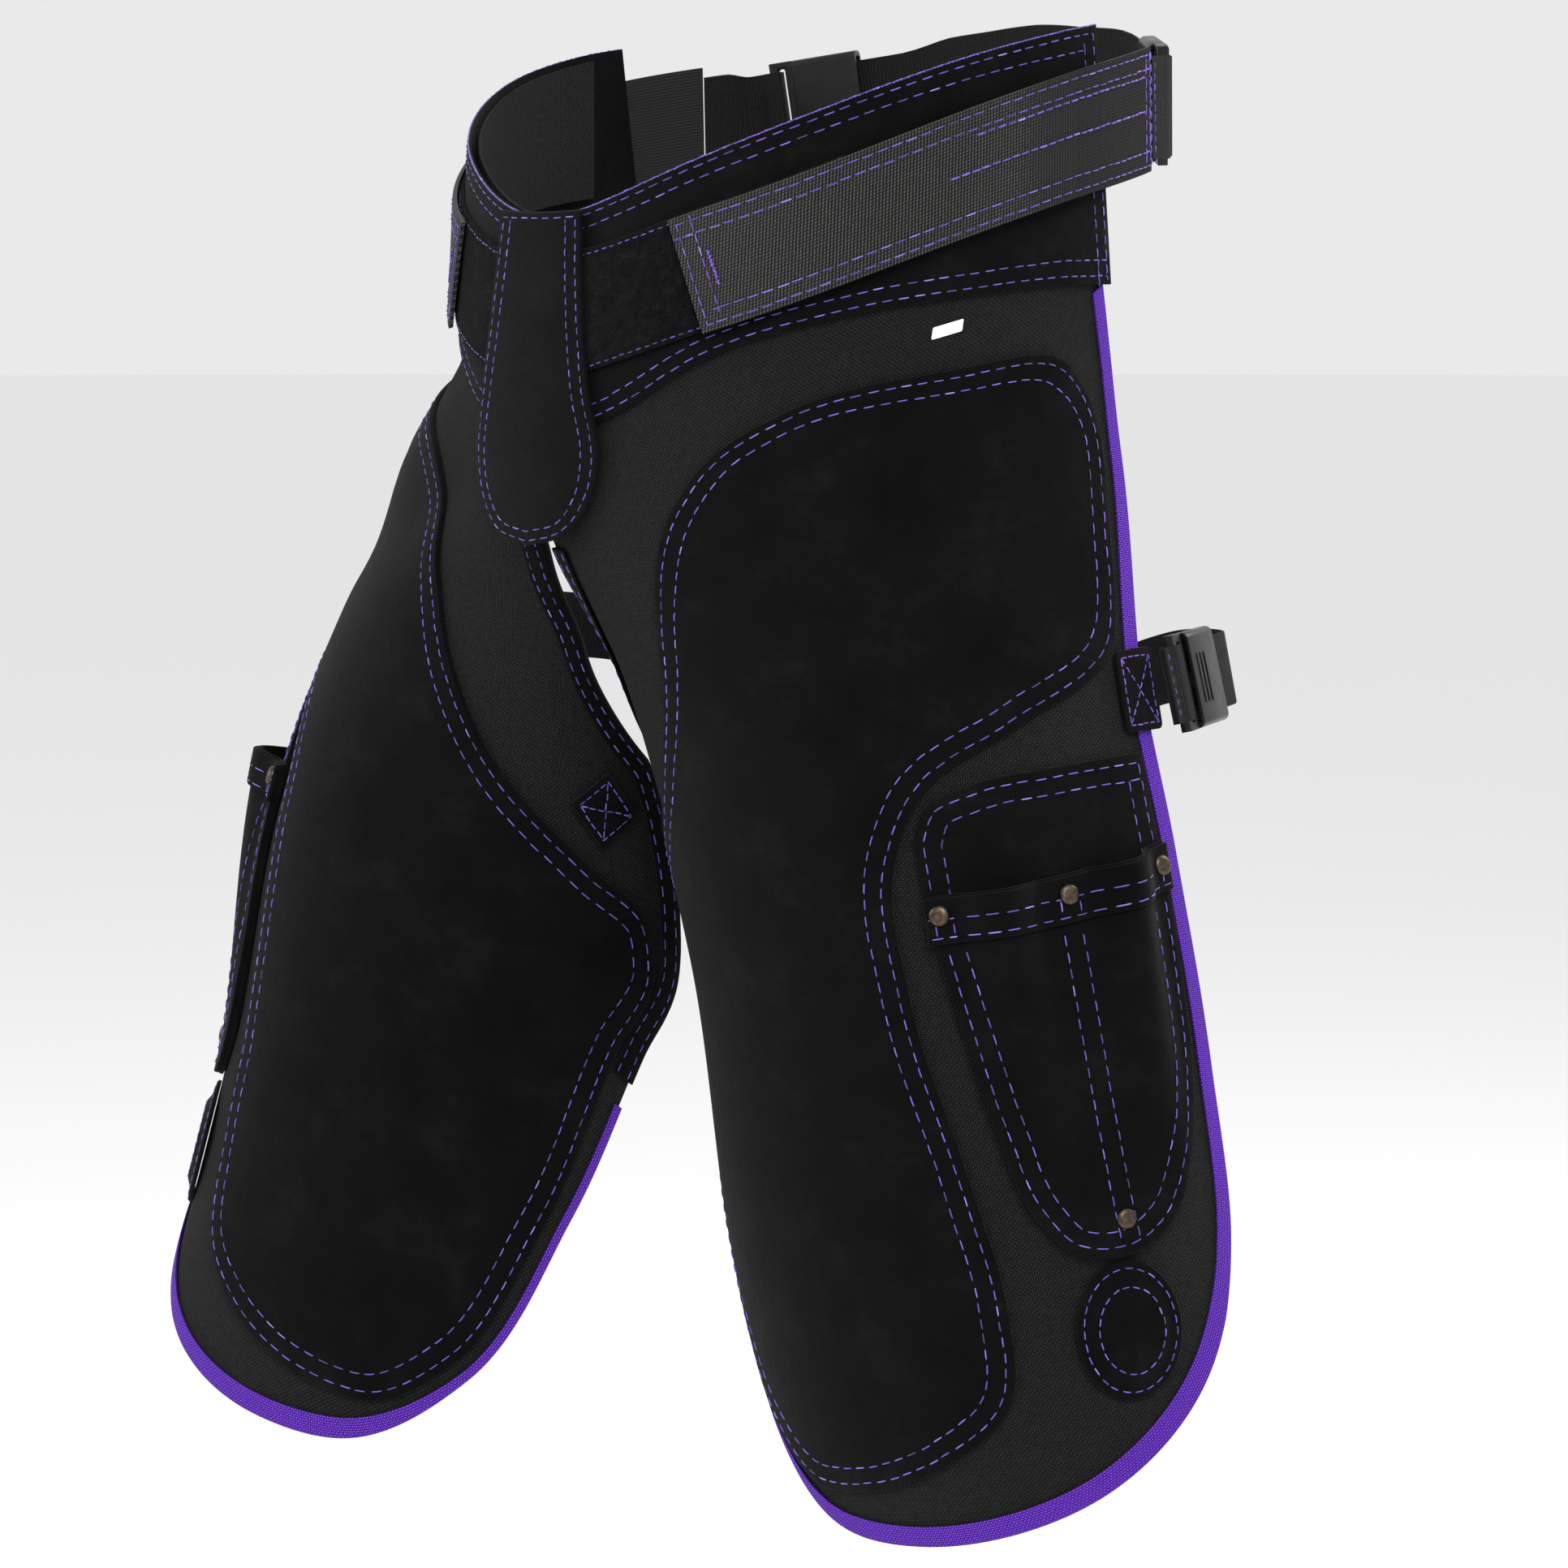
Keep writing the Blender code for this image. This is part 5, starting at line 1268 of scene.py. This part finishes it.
for name, node in frame["nodes"].items():
    if not node.hide_render:
        slot_name = next(s["material_slot"] for s in frame["record"]["subparts"] if s["node"] == name)
        for material_slot in node.material_slots:
            material_slot.material = FINISH[slot_name]


# ---------------------------------------------------------------- stage, light and camera
FLOOR_Z = -1.05
VIEW_TURN, VIEW_RISE, VIEW_DISTANCE = math.radians(52), math.radians(6), 2.6
VIEW_AIM = Vector((-0.0095, -0.0121, -0.3025))
LENS, SENSOR = 116.3, 36.0


def make_stage():
    bpy.ops.mesh.primitive_circle_add(vertices=64, radius=40, fill_type="NGON", location=(0, 0, FLOOR_Z))
    floor = bpy.context.object
    floor.name = "floor"
    finish = Finish("floor", (0.945, 0.945, 0.945), 1.0, specular=0.0)
    floor.data.materials.append(finish.material)
    world = bpy.data.worlds.new("studio")
    world.use_nodes = True
    world.node_tree.nodes["Background"].inputs["Color"].default_value = (0.82, 0.82, 0.82, 1)
    world.node_tree.nodes["Background"].inputs["Strength"].default_value = 1.0
    bpy.context.scene.world = world


def soft_light(name, place, size, power):
    data = bpy.data.lights.new(name, "AREA")
    data.shape = "DISK"
    data.size = size
    data.energy = power
    light = bpy.data.objects.new(name, data)
    light.location = place
    light.rotation_euler = (VIEW_AIM - Vector(place)).to_track_quat("-Z", "Y").to_euler()
    bpy.context.scene.collection.objects.link(light)


def make_camera():
    back = Vector((math.sin(VIEW_TURN) * math.cos(VIEW_RISE), -math.cos(VIEW_TURN) * math.cos(VIEW_RISE),
                   math.sin(VIEW_RISE)))
    data = bpy.data.cameras.new("camera")
    data.lens = LENS
    data.sensor_width = SENSOR
    camera = bpy.data.objects.new("camera", data)
    camera.location = VIEW_AIM + back * VIEW_DISTANCE
    camera.rotation_euler = (-back).to_track_quat("-Z", "Y").to_euler()
    bpy.context.scene.collection.objects.link(camera)
    bpy.context.scene.camera = camera


bpy.context.scene.view_settings.view_transform = "Standard"
make_stage()
soft_light("key_light", (2.2, -1.2, 1.6), 1.6, 60)
soft_light("fill_light", (-1.8, -2.4, 0.8), 2.0, 35)
soft_light("rim_light", (0.5, 2.4, 1.6), 1.6, 40)
make_camera()
